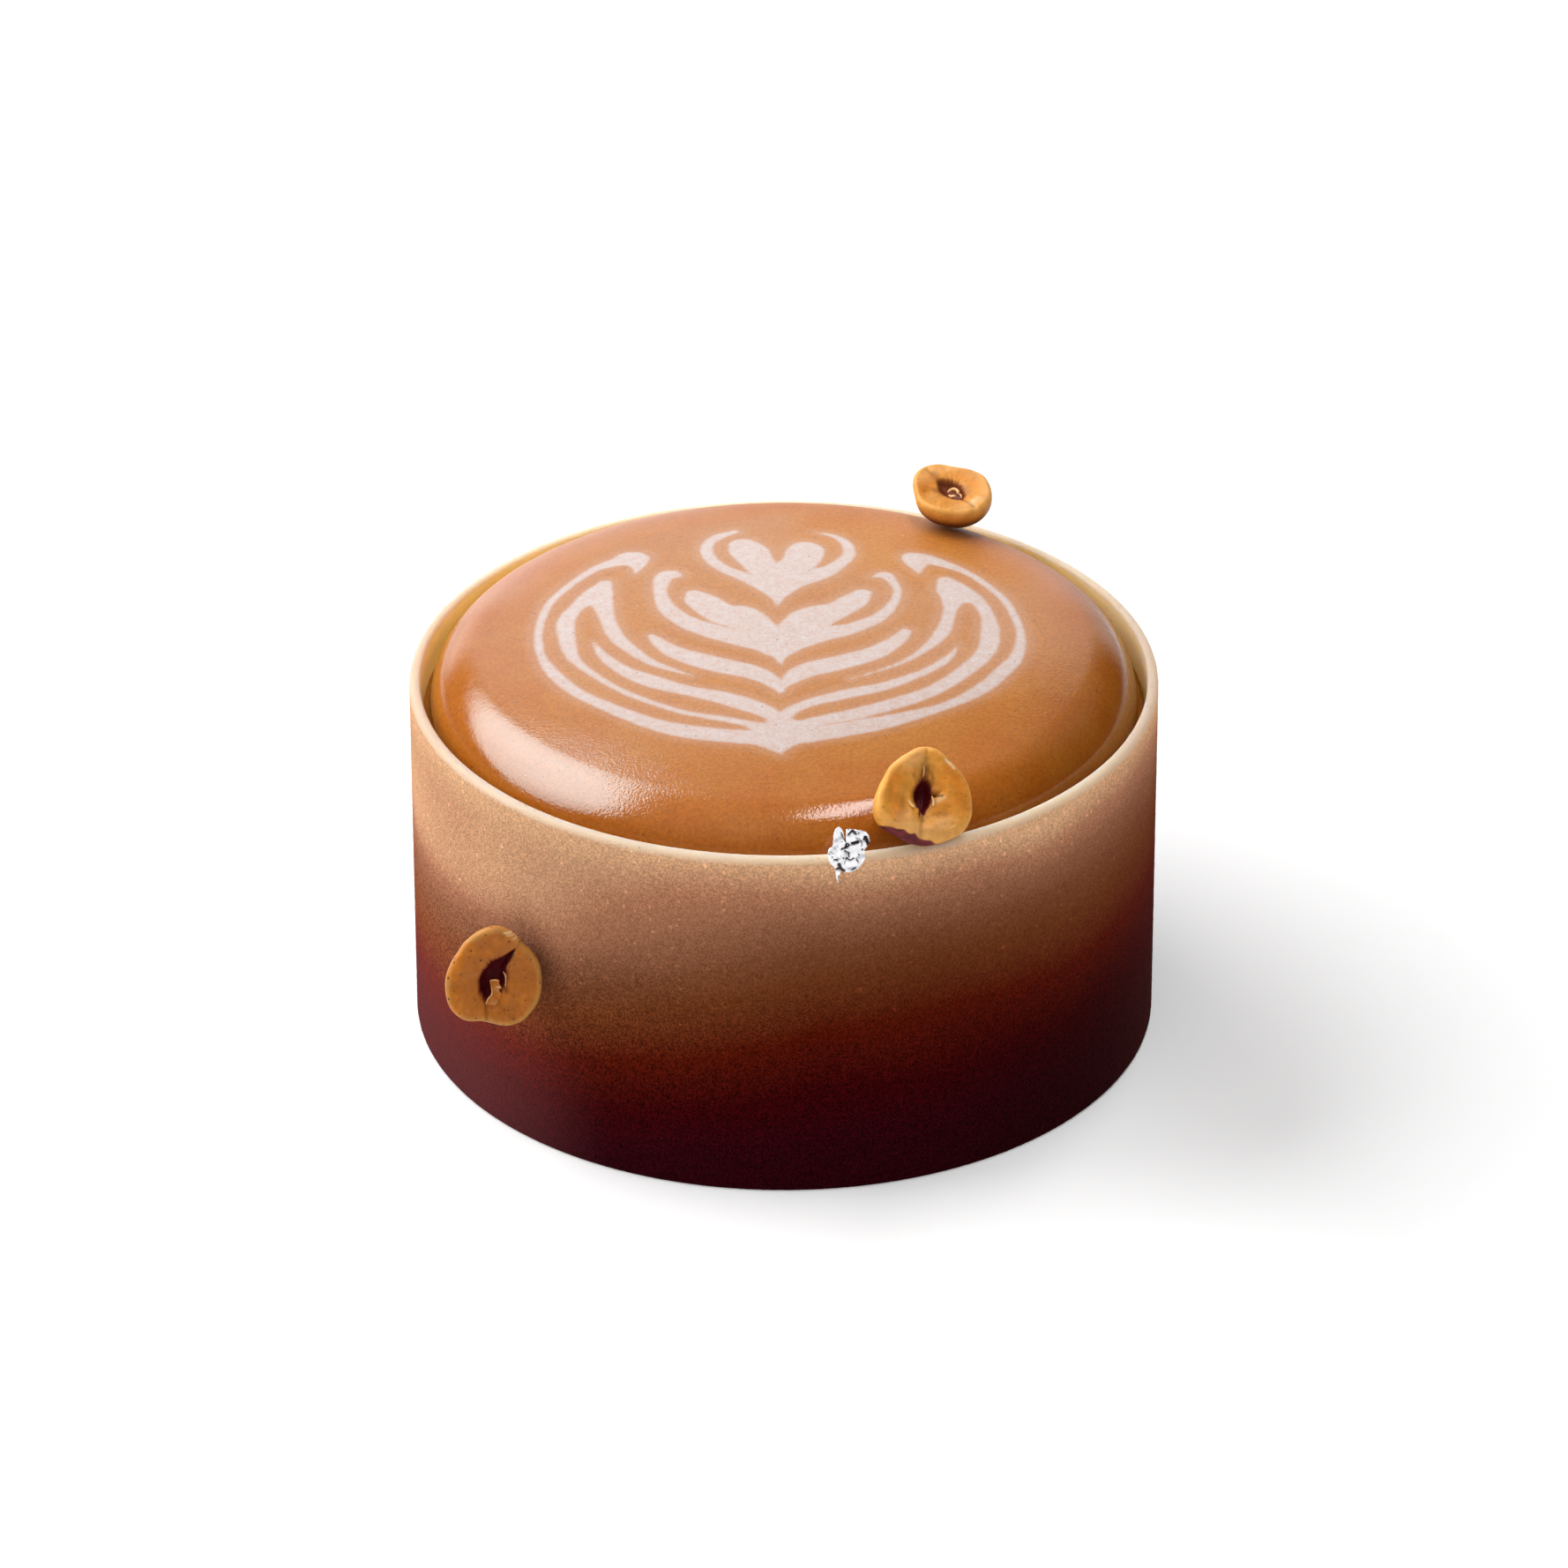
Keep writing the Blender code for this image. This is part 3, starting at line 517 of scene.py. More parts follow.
class Value:
    """A node's output. Reckoning with it adds the math nodes that work out the result."""

    def __init__(self, graph, socket):
        self.graph = graph
        self.socket = socket

    def __add__(self, other):
        return self.graph.math("ADD", self, other)

    def __sub__(self, other):
        return self.graph.math("SUBTRACT", self, other)

    def __rsub__(self, other):
        return self.graph.math("SUBTRACT", other, self)

    def __mul__(self, other):
        return self.graph.math("MULTIPLY", self, other)

    def __truediv__(self, other):
        return self.graph.math("DIVIDE", self, other)

    def __rtruediv__(self, other):
        return self.graph.math("DIVIDE", other, self)

    def __pow__(self, other):
        return self.graph.math("POWER", self, other)

    def __abs__(self):
        return self.graph.math("ABSOLUTE", self)


class Graph:
    """Adds nodes to one node tree and links them."""

    def __init__(self, tree):
        self.tree = tree

    def node(self, kind, inputs=None, **settings):
        """A node; inputs go to its open sockets by name or by place, and are outputs or plain values."""
        made = self.tree.nodes.new(kind)
        for name, value in settings.items():
            setattr(made, name, value)
        for key, value in (inputs or {}).items():
            self.feed(made, key, value)
        return made

    def feed(self, node, key, value):
        sockets = [s for s in node.inputs if s.enabled]
        socket = sockets[key] if isinstance(key, int) else next(s for s in sockets if s.name == key)
        if isinstance(value, Value):
            self.tree.links.new(value.socket, socket)
        elif socket.type == "RGBA":
            socket.default_value = (*value[:3], 1.0)
        else:
            socket.default_value = value

    def first(self, kind, inputs=None, **settings):
        """A node's first open output."""
        made = self.node(kind, inputs, **settings)
        return Value(self, next(s for s in made.outputs if s.enabled))

    def shape(self, kind, inputs=None, **settings):
        """A geometry node's first open output."""
        return self.first("GeometryNode" + kind, inputs, **settings)

    def several(self, names, kind, inputs=None, **settings):
        """Some of a node's outputs, by name or by place."""
        made = self.node(kind, inputs, **settings)
        return [Value(self, made.outputs[name]) for name in names]

    def output(self, name, kind, inputs=None, **settings):
        return self.several((name,), kind, inputs, **settings)[0]

    def math(self, operation, *values, clamp=False):
        return self.first("ShaderNodeMath", dict(enumerate(values)), operation=operation, use_clamp=clamp)

    def vector(self, operation, *values):
        return self.first("ShaderNodeVectorMath", dict(enumerate(values)), operation=operation)

    def dot(self, place, direction):
        return self.vector("DOT_PRODUCT", place, direction)

    def shaded(self, base, shade):
        """A colour made darker or lighter."""
        return self.vector("MULTIPLY", base, shade)

    def off_axis(self, place):
        """How far a place is from the upright axis."""
        return self.vector("LENGTH", self.vector("MULTIPLY", place, (1.0, 1.0, 0.0)))

    def split(self, place):
        return self.several((0, 1, 2), "ShaderNodeSeparateXYZ", {0: place})

    def ease(self, value, low, high, start=0.0, end=1.0):
        """start below low and end above high, with a soft step between."""
        inputs = {"Value": value, "From Min": low, "From Max": high, "To Min": start, "To Max": end}
        return self.first("ShaderNodeMapRange", inputs, interpolation_type="SMOOTHSTEP")

    def along(self, reach, low, high, start=0.0, end=1.0):
        """ease over a length, from low to high in millimetres."""
        return self.ease(reach, low * MM, high * MM, start, end)

    def mix(self, share, first, second, kind="RGBA"):
        return self.first("ShaderNodeMix", {0: share, 1: first, 2: second}, data_type=kind)

    def noise(self, place, size, detail=2.0, roughness=0.5):
        """Smooth noise with features of that size in metres, from 0 to 1."""
        inputs = {"Vector": place, "Scale": 1.0 / size, "Detail": detail, "Roughness": roughness}
        return self.first("ShaderNodeTexNoise", inputs)

    def attribute(self, name):
        return self.output("Fac", "ShaderNodeAttribute", attribute_name=name)

    def ramp(self, share, stops):
        made = self.node("ShaderNodeValToRGB", {0: share})
        points = made.color_ramp.elements
        points[0].position = stops[0][0]
        points[1].position = stops[-1][0]
        for position, _ in stops[1:-1]:
            points.new(position)
        for point, (_, tint) in zip(points, stops):
            point.color = (*tint[:3], 1.0)
        return Value(self, made.outputs[0])

    def grain(self, place, size, coarse_share=0.5):
        """Fine grain: its height, and a mask of its lighter grains."""
        inputs = {"Vector": place, "Size": size, "Coarse Share": coarse_share}
        tree = once("fine_grain", make_fine_grain)
        return self.several(("Height", "Light"), "ShaderNodeGroup", inputs, node_tree=tree)

    def specks(self, place, spacing, size, share):
        """A mask of round specks, their spacing and size in millimetres."""
        inputs = {"Vector": place, "Spacing": spacing * MM, "Size": size * MM, "Share": share}
        return self.output("Mask", "ShaderNodeGroup", inputs, node_tree=once("specks", make_specks))

    def surface(self, values, *bumps):
        """The finished surface, with bump layers of (height, distance) stacked on it."""
        shader = self.node("ShaderNodeBsdfPrincipled", values)
        layer = {}
        for height, distance in bumps:
            layer = {"Height": height, "Distance": distance, "Strength": 1.0, **layer}
            layer = {"Normal": self.first("ShaderNodeBump", layer)}
        if layer:
            self.feed(shader, "Normal", layer["Normal"])
        self.node("ShaderNodeOutputMaterial", {"Surface": Value(self, shader.outputs[0])})


def new_tree(name, kind, inputs, outputs):
    """An empty node group with named sockets: its tree, its graph, what it is given, and its output node."""
    tree = bpy.data.node_groups.new(name, kind)
    for in_out, sockets in (("INPUT", inputs), ("OUTPUT", outputs)):
        for socket_name, socket_kind in sockets.items():
            tree.interface.new_socket(socket_name, in_out=in_out, socket_type="NodeSocket" + socket_kind)
    graph = Graph(tree)
    given = dict(zip(inputs, graph.several(inputs, "NodeGroupInput")))
    return tree, graph, given, graph.node("NodeGroupOutput")


def once(name, make):
    """The node group of that name, made the first time that it is asked for."""
    return bpy.data.node_groups.get(name) or make(name)


def make_fine_grain(name):
    """Two sizes of fine grain: their height together, and a mask of the lighter grains."""
    inputs = {"Vector": "Vector", "Size": "Float", "Coarse Share": "Float"}
    outputs = {"Height": "Float", "Light": "Float"}
    tree, graph, given, result = new_tree(name, "ShaderNodeTree", inputs, outputs)
    fine = graph.noise(given["Vector"], given["Size"], 1.0)
    coarse = graph.noise(given["Vector"], given["Size"] / COARSE_SCALE, 1.0)
    height = graph.mix(given["Coarse Share"], fine, coarse, "FLOAT")
    graph.feed(result, "Height", height)
    graph.feed(result, "Light", graph.ease(height, 0.40, 0.62))
    return tree


def make_specks(name):
    """Round specks, one in some of the cells of an uneven grid."""
    inputs = {"Vector": "Vector", "Spacing": "Float", "Size": "Float", "Share": "Float"}
    tree, graph, given, result = new_tree(name, "ShaderNodeTree", inputs, {"Mask": "Float"})
    cells = {"Vector": given["Vector"], "Scale": 1.0 / given["Spacing"]}
    away, cell = graph.several(("Distance", "Color"), "ShaderNodeTexVoronoi", cells)
    picked, sized = graph.several((0, 1), "ShaderNodeSeparateColor", {0: cell})
    reach = given["Size"] * (sized + 0.4)
    near = graph.ease(away * given["Spacing"] / reach, 1.0, 0.45)
    graph.feed(result, "Mask", near * graph.math("LESS_THAN", picked, given["Share"]))
    return tree


def new_material(name):
    """A material, its graph, and the place on the object that its patterns read."""
    material = bpy.data.materials.new(name)
    material.use_nodes = True
    material.node_tree.nodes.clear()
    graph = Graph(material.node_tree)
    return material, graph, graph.output("Object", "ShaderNodeTexCoord")


def darker(tint, share):
    return tuple(share * v for v in tint)


def velvet_material(look):
    """Sprayed cocoa-butter velvet: burgundy at the foot, through rust and tan, to cream under a bare rim."""
    material, graph, place = new_material("velvet_wall")
    left = graph.dot(place, tuple(v / WALL_RADIUS for v in SPRAY_AND_PAINTED_LIGHT_SIDE))
    right, _, up = graph.split(place)
    height, light = graph.grain(place, look.grain, 0.20)

    # Bands of colour by height, lower on the side that the spray leans to, with a frayed edge
    drift = (graph.noise(place, 26 * MM, 1.0) - 0.5) * (5 * MM)
    spray = (height - 0.5) * graph.along(up, 45, 20, 2.5 * MM, 6 * MM)
    side = graph.math("SUBTRACT", left, 0.25, clamp=True) * (look.lean / 0.75)
    hold = graph.along(up, 60, 38) * graph.along(up, -5, 25, 0.4, 1.0)
    share = (up + side * hold + (drift + spray)) / WALL_HEIGHT
    sprayed = graph.ramp(share, [(position, getattr(look, band)) for position, band in VELVET_BANDS])

    # Droplets, pits and loose granules, stronger towards the foot
    speckle = graph.ease(height, 0.32, 0.68, -1.0, 1.0) * graph.along(up, 45, 15, 0.20, 0.58)
    pits = graph.specks(place, spacing=1.1, size=0.15, share=0.25)
    shade = speckle + 1.0 + graph.attribute("granule") * 0.35
    shade = shade * graph.ease(pits, 0.0, 1.0, 1.0, 0.6)

    # Painted light and shade round the wall: low down lighter on the far left and darker to the right,
    # higher up lighter on the right and darker on the far left
    turned = graph.ease(left, 0.75, 1.0, -0.08, 0.66) - graph.ease(left, 0.15, -0.70, 0.0, 0.36)
    painted_light_high = graph.ease(left, -0.6, 0.0, 0.08, 0.0) - graph.ease(left, 0.5, 0.8, 0.0, 0.16)
    painted_side_light = graph.along(up, 34, 12) * turned + graph.along(up, 24, 36) * painted_light_high
    sprayed = graph.shaded(sprayed, shade * (painted_side_light + 1.0))
    pale = graph.specks(place, spacing=1.4, size=0.36, share=0.50)
    sprayed = graph.shaded(sprayed, pale * graph.along(up, 18, 36, 0.22, 0.42) + 1.0)
    # Painted sheen: a mauve haze low down on the far left
    painted_sheen = graph.ease(left, 0.72, 1.0) * graph.along(up, 32, 6, 0.0, 0.45)
    sprayed = graph.mix(painted_sheen, sprayed, MAUVE_PAINTED_SHEEN)

    # The bare rim, with painted shade at its far left and right, and the bare inside
    radius = WALL_RADIUS / MM
    top = WALL_HEIGHT / MM
    inside = graph.along(graph.off_axis(place), radius - 0.55, radius - 1.05)
    bare = graph.math("MAXIMUM", inside, graph.along(up + height * (1.2 * MM), top - 1.0, top + 0.5))
    rim = graph.mix(light * 0.12, look.rim, RIM_GRAIN)
    # Painted shade: the rim darker towards its far left and right
    rim = graph.shaded(rim, graph.ease(abs(right / WALL_RADIUS), 0.72, 1.0, 1.0, 0.80))
    rim = graph.mix(inside * graph.along(up, top, top - 1.5), rim, look.inside)
    values = {
        "Base Color": graph.mix(bare, sprayed, rim),
        "Roughness": graph.ease(bare, 0.0, 1.0, 0.88, 0.58),
        "Specular IOR Level": 0.0,
        "Subsurface Weight": bare * 0.9,
        "Subsurface Radius": (1.0, 0.65, 0.30),
        "Subsurface Scale": 8.0 * MM,
        "Sheen Weight": 0.08,
        "Sheen Roughness": 0.45,
        "Sheen Tint": (1.0, 0.35, 0.30),
    }
    droplets = height * graph.ease(bare, 0.0, 1.0, 1.0, 0.35)
    graph.surface(values, (droplets, 0.26 * MM), (pale - pits, 0.06 * MM))
    return material


def glaze_material(look):
    """Caramel mirror glaze with a milk-foam leaf in it, fine pores and a slight orange-peel skin."""
    material, graph, place = new_material("latte_glaze")
    right, back, _ = graph.split(place)
    out = graph.off_axis(place)
    height, light = graph.grain(place, look.pore)
    cloud = graph.noise(place, 7 * MM, 3.0)
    clouded = graph.ease(cloud, 0.35, 0.7, -0.12, 0.18)
    pooled = graph.math("ADD", graph.along(out, 30, 56, 0.0, 0.75), clouded, clamp=True)
    base = graph.mix(pooled, look.caramel, look.amber)
    base = graph.shaded(base, graph.ease(height, 0.32, 0.68, 0.84, 1.14))

    # Milk foam inside the drawn strokes, frayed by the grain, with a faint haze outside them
    edge = graph.attribute("foam")
    swell = (graph.noise(place, 2.2 * MM) - 0.5) * 0.3
    reach = edge + ((height - 0.5) * 1.5 + swell)
    soft = look.foam_edge / MM
    thin = graph.ease(graph.noise(place, 1.4 * MM, 3.0), 0.30, 0.75, 0.80, 1.0)
    foam = graph.ease(reach, 0.40 * soft, -1.0 * soft) * thin
    veil = graph.math("MAXIMUM", foam, graph.ease(edge, 2.2, 0.0, 0.0, 0.13))
    base = graph.mix(veil, base, graph.mix((1.0 - light) * 0.24, look.foam, look.caramel))

    # Pores, bubbles, a painted reflection as a pinkish veil at the back, and painted shade on the right side
    pores = graph.specks(place, spacing=1.3, size=0.19, share=0.38)
    bubbles = graph.specks(graph.vector("ADD", place, (0.3, 0.1, 0.2)), spacing=2.4, size=0.16, share=0.30)
    base = graph.mix(pores * 0.55, base, GLAZE_PORE)
    base = graph.mix(bubbles * 0.45, base, GLAZE_BUBBLE)
    painted_reflection = graph.along(out, 43, 51) * graph.along(back, 10, 22)
    painted_reflection = painted_reflection * graph.along(abs(right - 14 * MM), 12, 34, 0.08, 0.30)
    base = graph.mix(painted_reflection, base, GLAZE_PAINTED_REFLECTION)
    # Painted shade: the glaze darker towards its right edge
    base = graph.shaded(base, graph.along(graph.dot(place, (1.0, -0.25, 0.0)), 38, 54, 1.0, 0.72))

    # Duller at the back edge and round the kernel that lies there
    nearby = graph.off_axis(graph.vector("SUBTRACT", place, KERNELS["hazelnut_back"]["centre"]))
    dull = graph.along(back, 4, 26) * graph.along(out, 38, 49)
    dull = graph.math("MAXIMUM", dull, graph.along(nearby, 36, 20))
    roughness = graph.ease(cloud, 0.3, 0.7, 0.05, 0.08) + dull * 0.42
    relief = bubbles - pores + height * 0.8
    peel = graph.noise(place, 0.42 * MM) * graph.along(out, 40, 54, 0.45, 1.0)
    values = {"Base Color": base, "Roughness": roughness, "IOR": 1.5}
    graph.surface(values, (relief, 0.007 * MM), (peel, 0.035 * MM))
    return material


def kernel_material(look):
    """Hazelnut: amber flesh, a pale rounded edge, brown stains, brown and near-black painted shade, a
    burgundy hollow and a papery skin.
    """
    material, graph, place = new_material("hazelnut_kernel")
    height, light = graph.grain(place, 0.35 * MM)
    tone = graph.attribute("tone")
    patches = graph.noise(place, 2.6 * MM, 3.0)
    flesh = graph.mix(tone, look.flesh, look.bright)
    flesh = graph.mix(graph.ease(patches, 0.38, 0.72, 0.0, 0.40), flesh, look.amber)
    rind = graph.mix(tone, darker(look.edge, 0.64), look.edge)
    flesh = graph.mix(graph.ease(graph.attribute("edge"), 1.3, 0.4) * 0.70, flesh, rind)
    flesh = graph.mix(graph.attribute("amber"), flesh, look.amber)
    flesh = graph.shaded(flesh, graph.ease(graph.noise(place, 1.6 * MM), 0.30, 0.70, 0.95, 1.14))
    pores = graph.specks(place, spacing=0.85, size=0.25, share=0.42)
    flesh = graph.mix(pores * graph.ease(tone, 0.0, 1.0, 0.75, 0.20), flesh, look.brown)
    flesh = graph.mix(graph.ease(graph.attribute("fibre"), 0.0, 1.0) * 0.10, flesh, look.brown)
    flesh = graph.mix(light * 0.03, flesh, look.pale)
    # Pale, brown and near-black marks and the hollow's colour; brown along the splits, near-black in the
    # deep dent and brown on the back kernel's back are painted shade
    for mark, tint in (("pale", look.pale), ("brown", look.brown), ("dark", NEAR_BLACK), ("hollow", look.hollow)):
        flesh = graph.mix(graph.attribute(mark), flesh, tint)
    dry = graph.ease(graph.noise(place, 1.1 * MM, 3.0), 0.35, 0.7)
    papery = graph.mix(dry, darker(look.skin, 0.45), look.skin)
    values = {
        "Base Color": graph.mix(graph.attribute("skin"), flesh, papery),
        "Roughness": graph.ease(patches, 0.3, 0.7, 0.34, 0.48),
        "Specular IOR Level": 0.16,
        "Subsurface Weight": 0.08,
        "Subsurface Radius": (1.0, 0.45, 0.15),
        "Subsurface Scale": 0.8 * MM,
    }
    graph.surface(values, (height - pores * 0.8, 0.05 * MM))
    return material


def leaf_material(look):
    """Silver leaf: bright, a little brushed by its crumples, painted shade on some facets and in its
    creases, a painted glint that glows on the rest, dark in its gaps.
    """
    material, graph, place = new_material("silver_leaf")
    height, light = graph.grain(place, 0.22 * MM)
    gap = graph.attribute("gap")
    facet = graph.attribute("facet")
    # Painted shade on some facets; the painted glint glows less there
    silver = graph.mix(facet * 0.55, look.silver, SILVER_PAINTED_SHADE)
    values = {
        "Base Color": graph.mix(gap, silver, look.gap),
        "Metallic": graph.ease(gap, 0.0, 1.0, 0.20, 0.0),
        "Roughness": graph.ease(light, 0.0, 1.0, 0.34, 0.50),
        # Painted glint: a glow on the leaf, weaker on the shaded facets
        "Emission Color": SILVER_PAINTED_GLINT,
        "Emission Strength": (1.0 - gap) * graph.ease(facet, 0.0, 1.0, 0.30, 0.04),
    }
    graph.surface(values, (height, 0.03 * MM))
    return material


def floor_material(look):
    """A white floor that lights up the cake's shadow on it a little, as it is in the photograph."""
    material, graph, place = new_material("studio_floor")
    seen = graph.output("Is Camera Ray", "ShaderNodeLightPath")
    lift = graph.along(graph.dot(place, (1.0, 0.55, 0.0)), 10, 62, look.glow, 0.30 * look.glow)
    values = {
        "Base Color": graph.mix(graph.noise(place, 30 * MM), look.floor, darker(look.floor, 0.985)),
        "Roughness": 0.9,
        "Specular IOR Level": 0.0,
        "Emission Color": WHITE,
        "Emission Strength": seen * lift,
    }
    graph.surface(values)
    return material


def arc(centre_r, centre_z, radius, start_deg, end_deg, steps):
    """Points (r, z) on an arc, measured from +R towards +Z."""
    angles = np.radians(np.linspace(start_deg, end_deg, steps + 1))
    return [(centre_r + radius * math.cos(a), centre_z + radius * math.sin(a)) for a in angles]


def line(start, end, steps):
    """Points between two ends, without the ends."""
    return [tuple(s + (e - s) * i / steps for s, e in zip(start, end)) for i in range(1, steps)]


def wall_profile():
    """Up the outside, over the round rim, down the smooth inside and back under the foot."""
    outer = WALL_RADIUS
    inner = WALL_RADIUS - WALL_THICKNESS
    ledge = WALL_HEIGHT - LEDGE_DROP
    foot = arc(outer - FOOT_ROUND, FOOT_ROUND, FOOT_ROUND, -90, 0, 4)
    side = line(foot[-1], (outer, WALL_HEIGHT - RIM_OUTER_ROUND), WALL_ROWS)
    over = arc(outer - RIM_OUTER_ROUND, WALL_HEIGHT - RIM_OUTER_ROUND, RIM_OUTER_ROUND, 0, 90, 7)
    inward = arc(inner + RIM_INNER_ROUND, WALL_HEIGHT - RIM_INNER_ROUND, RIM_INNER_ROUND, 90, 180, 4)
    down = [*line(inward[-1], (inner, ledge), 12), (inner, ledge)]
    down += [*line((inner, ledge), (inner, 0.0), 4), (inner, 0.0)]
    grained = [(r, z, 1.0) for r, z in foot + side + over[:4]]
    softer = [(r, z, RIM_RELIEF) for r, z in over[4:] + inward]
    smooth = [(r, z, INSIDE_RELIEF) for r, z in down]
    return grained + softer + smooth + [grained[0]]


def filling_profile():
    """From the foot's centre out to the wall, in over the ledge, and up over the dome to its top."""
    filled = WALL_RADIUS - WALL_THICKNESS - TOUCH_GAP
    ledge = WALL_HEIGHT - LEDGE_DROP
    widest = WALL_HEIGHT - DOME_WIDEST_DROP
    reach = DOME_RADIUS - SHOULDER_ROUND
    climb = DOME_RISE + DOME_WIDEST_DROP
    big = (reach**2 + climb**2 - SHOULDER_ROUND**2) / (2 * (climb - SHOULDER_ROUND))
    cap_centre = WALL_HEIGHT + DOME_RISE - big
    meet = math.degrees(math.atan2(widest - cap_centre, reach))
    hidden = [(0.0, 0.0), (0.02, 0.0), (0.04, 0.0), (filled, 0.0), (filled, 0.02), (filled, ledge)]
    meniscus = arc(filled, widest - TOUCH_GAP, filled - DOME_RADIUS, -90, -180, 6)
    shoulder = arc(reach, widest, SHOULDER_ROUND, 0, meet, SHOULDER_ROWS)
    cap = arc(0.0, cap_centre, big, meet, 90, DOME_ROWS)[1:-1]
    shown = meniscus + shoulder + cap + [(0.0, WALL_HEIGHT + DOME_RISE)]
    return [(r, z, 0.0) for r, z in hidden] + [(r, z, 1.0) for r, z in shown]


def read_attribute(graph, name):
    return graph.shape("InputNamedAttribute", {0: name}, data_type="FLOAT")


def keep_attribute(graph, geometry, name, value, domain):
    inputs = {"Geometry": geometry, "Name": name, "Value": value}
    return graph.shape("StoreNamedAttribute", inputs, data_type="FLOAT", domain=domain)


def moved(graph, geometry, **inputs):
    return graph.shape("SetPosition", {"Geometry": geometry, **inputs})


def along_normal(graph, normal, reach):
    return graph.first("ShaderNodeVectorMath", {0: normal, "Scale": reach}, operation="SCALE")


def end_tree(graph, result, geometry, material):
    """Makes the geometry real and gives it its material."""
    solid = graph.shape("RealizeInstances", {0: geometry})
    coated = graph.shape("SetMaterial", {"Geometry": solid, "Material": material})
    graph.feed(result, "Geometry", coated)


def make_turned_solid(name):
    """Turns a chain of profile points into a closed solid round the upright axis, pressed in by noise."""
    inputs = {
        "Geometry": "Geometry", "Segments": "Int", "Relief": "Float", "Relief Size": "Float",
        "Material": "Material",
    }
    tree, graph, given, result = new_tree(name, "GeometryNodeTree", inputs, {"Geometry": "Geometry"})
    profile = given["Geometry"]
    rows = graph.output("Point Count", "GeometryNodeAttributeDomainSize", {0: profile})
    size = {"Size X": 1.0, "Size Y": 1.0, "Vertices X": given["Segments"] + 1.0, "Vertices Y": rows}
    grid, spread = graph.several(("Mesh", "UV Map"), "GeometryNodeMeshGrid", size)
    across, along, _ = graph.split(spread)
    row = graph.math("ROUND", along * (rows - 1.0))
    here = graph.shape("InputPosition")
    place = graph.shape("SampleIndex", {0: profile, 1: here, 2: row}, data_type="FLOAT_VECTOR")
    named = {0: profile, 1: read_attribute(graph, "grain"), 2: row}
    grain = graph.shape("SampleIndex", named, data_type="FLOAT")
    radius, _, height = graph.split(place)
    turn = across * (2 * math.pi)
    spot = {0: radius * graph.math("COSINE", turn), 1: radius * graph.math("SINE", turn), 2: height}
    turned = keep_attribute(graph, grid, "grain", grain, "POINT")
    turned = moved(graph, turned, Position=graph.first("ShaderNodeCombineXYZ", spot))
    closed = graph.shape("MergeByDistance", {"Geometry": turned, "Distance": 1e-6})
    lumps = graph.noise(here, given["Relief Size"], 2.0, 0.6)
    push = (lumps - 0.85) * given["Relief"] * read_attribute(graph, "grain")
    worn = moved(graph, closed, Offset=along_normal(graph, graph.shape("InputNormal"), push))
    smooth = graph.shape("SetShadeSmooth", {0: worn})
    end_tree(graph, result, smooth, given["Material"])
    return tree


def make_loose_granules(name):
    """Scatters small uneven granules over a surface, half sunk in it."""
    inputs = {
        "Geometry": "Geometry", "Density": "Float", "Smallest": "Float", "Largest": "Float", "Sink": "Float",
        "Radius": "Float", "Material": "Material",
    }
    tree, graph, given, result = new_tree(name, "GeometryNodeTree", inputs, {"Geometry": "Geometry"})
    density = graph.math("GREATER_THAN", read_attribute(graph, "grain"), 0.5) * given["Density"]
    scatter = {"Mesh": given["Geometry"], "Density": density, "Seed": 7}
    points, normal = graph.several(("Points", "Normal"), "GeometryNodeDistributePointsOnFaces", scatter)
    points = moved(graph, points, Offset=along_normal(graph, normal, given["Sink"]))
    grit = graph.shape("MeshIcoSphere", {"Radius": 1.0, "Subdivisions": 1})
    sizes = {"Min": given["Smallest"], "Max": given["Largest"], "Seed": 11}
    size = graph.first("FunctionNodeRandomValue", sizes, data_type="FLOAT")
    turns = {"Min": (0.0, 0.0, 0.0), "Max": (6.28, 6.28, 6.28), "Seed": 3}
    turn = graph.first("FunctionNodeRandomValue", turns, data_type="FLOAT_VECTOR")
    placed = {"Points": points, "Instance": grit, "Rotation": turn, "Scale": size}
    many = graph.shape("InstanceOnPoints", placed)
    tint = graph.first("FunctionNodeRandomValue", {"Min": 0.0, "Max": 1.0, "Seed": 5}, data_type="FLOAT")
    many = keep_attribute(graph, many, "granule", tint, "INSTANCE")
    loose = graph.shape("RealizeInstances", {0: many})
    here = graph.shape("InputPosition")
    inward = graph.math("MINIMUM", given["Radius"] / graph.off_axis(here), 1.0)
    squeeze = graph.first("ShaderNodeCombineXYZ", {0: inward, 1: inward, 2: 1.0})
    held = graph.vector("MAXIMUM", graph.vector("MULTIPLY", here, squeeze), (-1.0, -1.0, 0.0))
    smooth = graph.shape("SetShadeSmooth", {0: moved(graph, loose, Position=held)})
    end_tree(graph, result, smooth, given["Material"])
    return tree


def add_object(name, data):
    made = bpy.data.objects.new(name, data)
    bpy.context.scene.collection.objects.link(made)
    return made


def grown(name, mesh, tree, values):
    """An object whose mesh is what the tree makes of the given one, as plain faces that point outwards."""
    made = add_object(name, mesh)
    modifier = made.modifiers.new("Nodes", "NODES")
    modifier.node_group = tree
    sockets = {item.name: item.identifier for item in tree.interface.items_tree if item.in_out == "INPUT"}
    for socket, value in values.items():
        modifier[sockets[socket]] = value
    graph = bpy.context.evaluated_depsgraph_get()
    shown = made.evaluated_get(graph)
    plain = bpy.data.meshes.new_from_object(shown, preserve_all_data_layers=True, depsgraph=graph)
    made.modifiers.clear()
    made.data = plain
    bpy.data.meshes.remove(mesh)
    plain.name = name
    material = next(m for m in plain.materials if m)
    plain.materials.clear()
    plain.materials.append(material)
    plain.polygons.foreach_set("material_index", [0] * len(plain.polygons))
    face_outwards(plain)
    return made


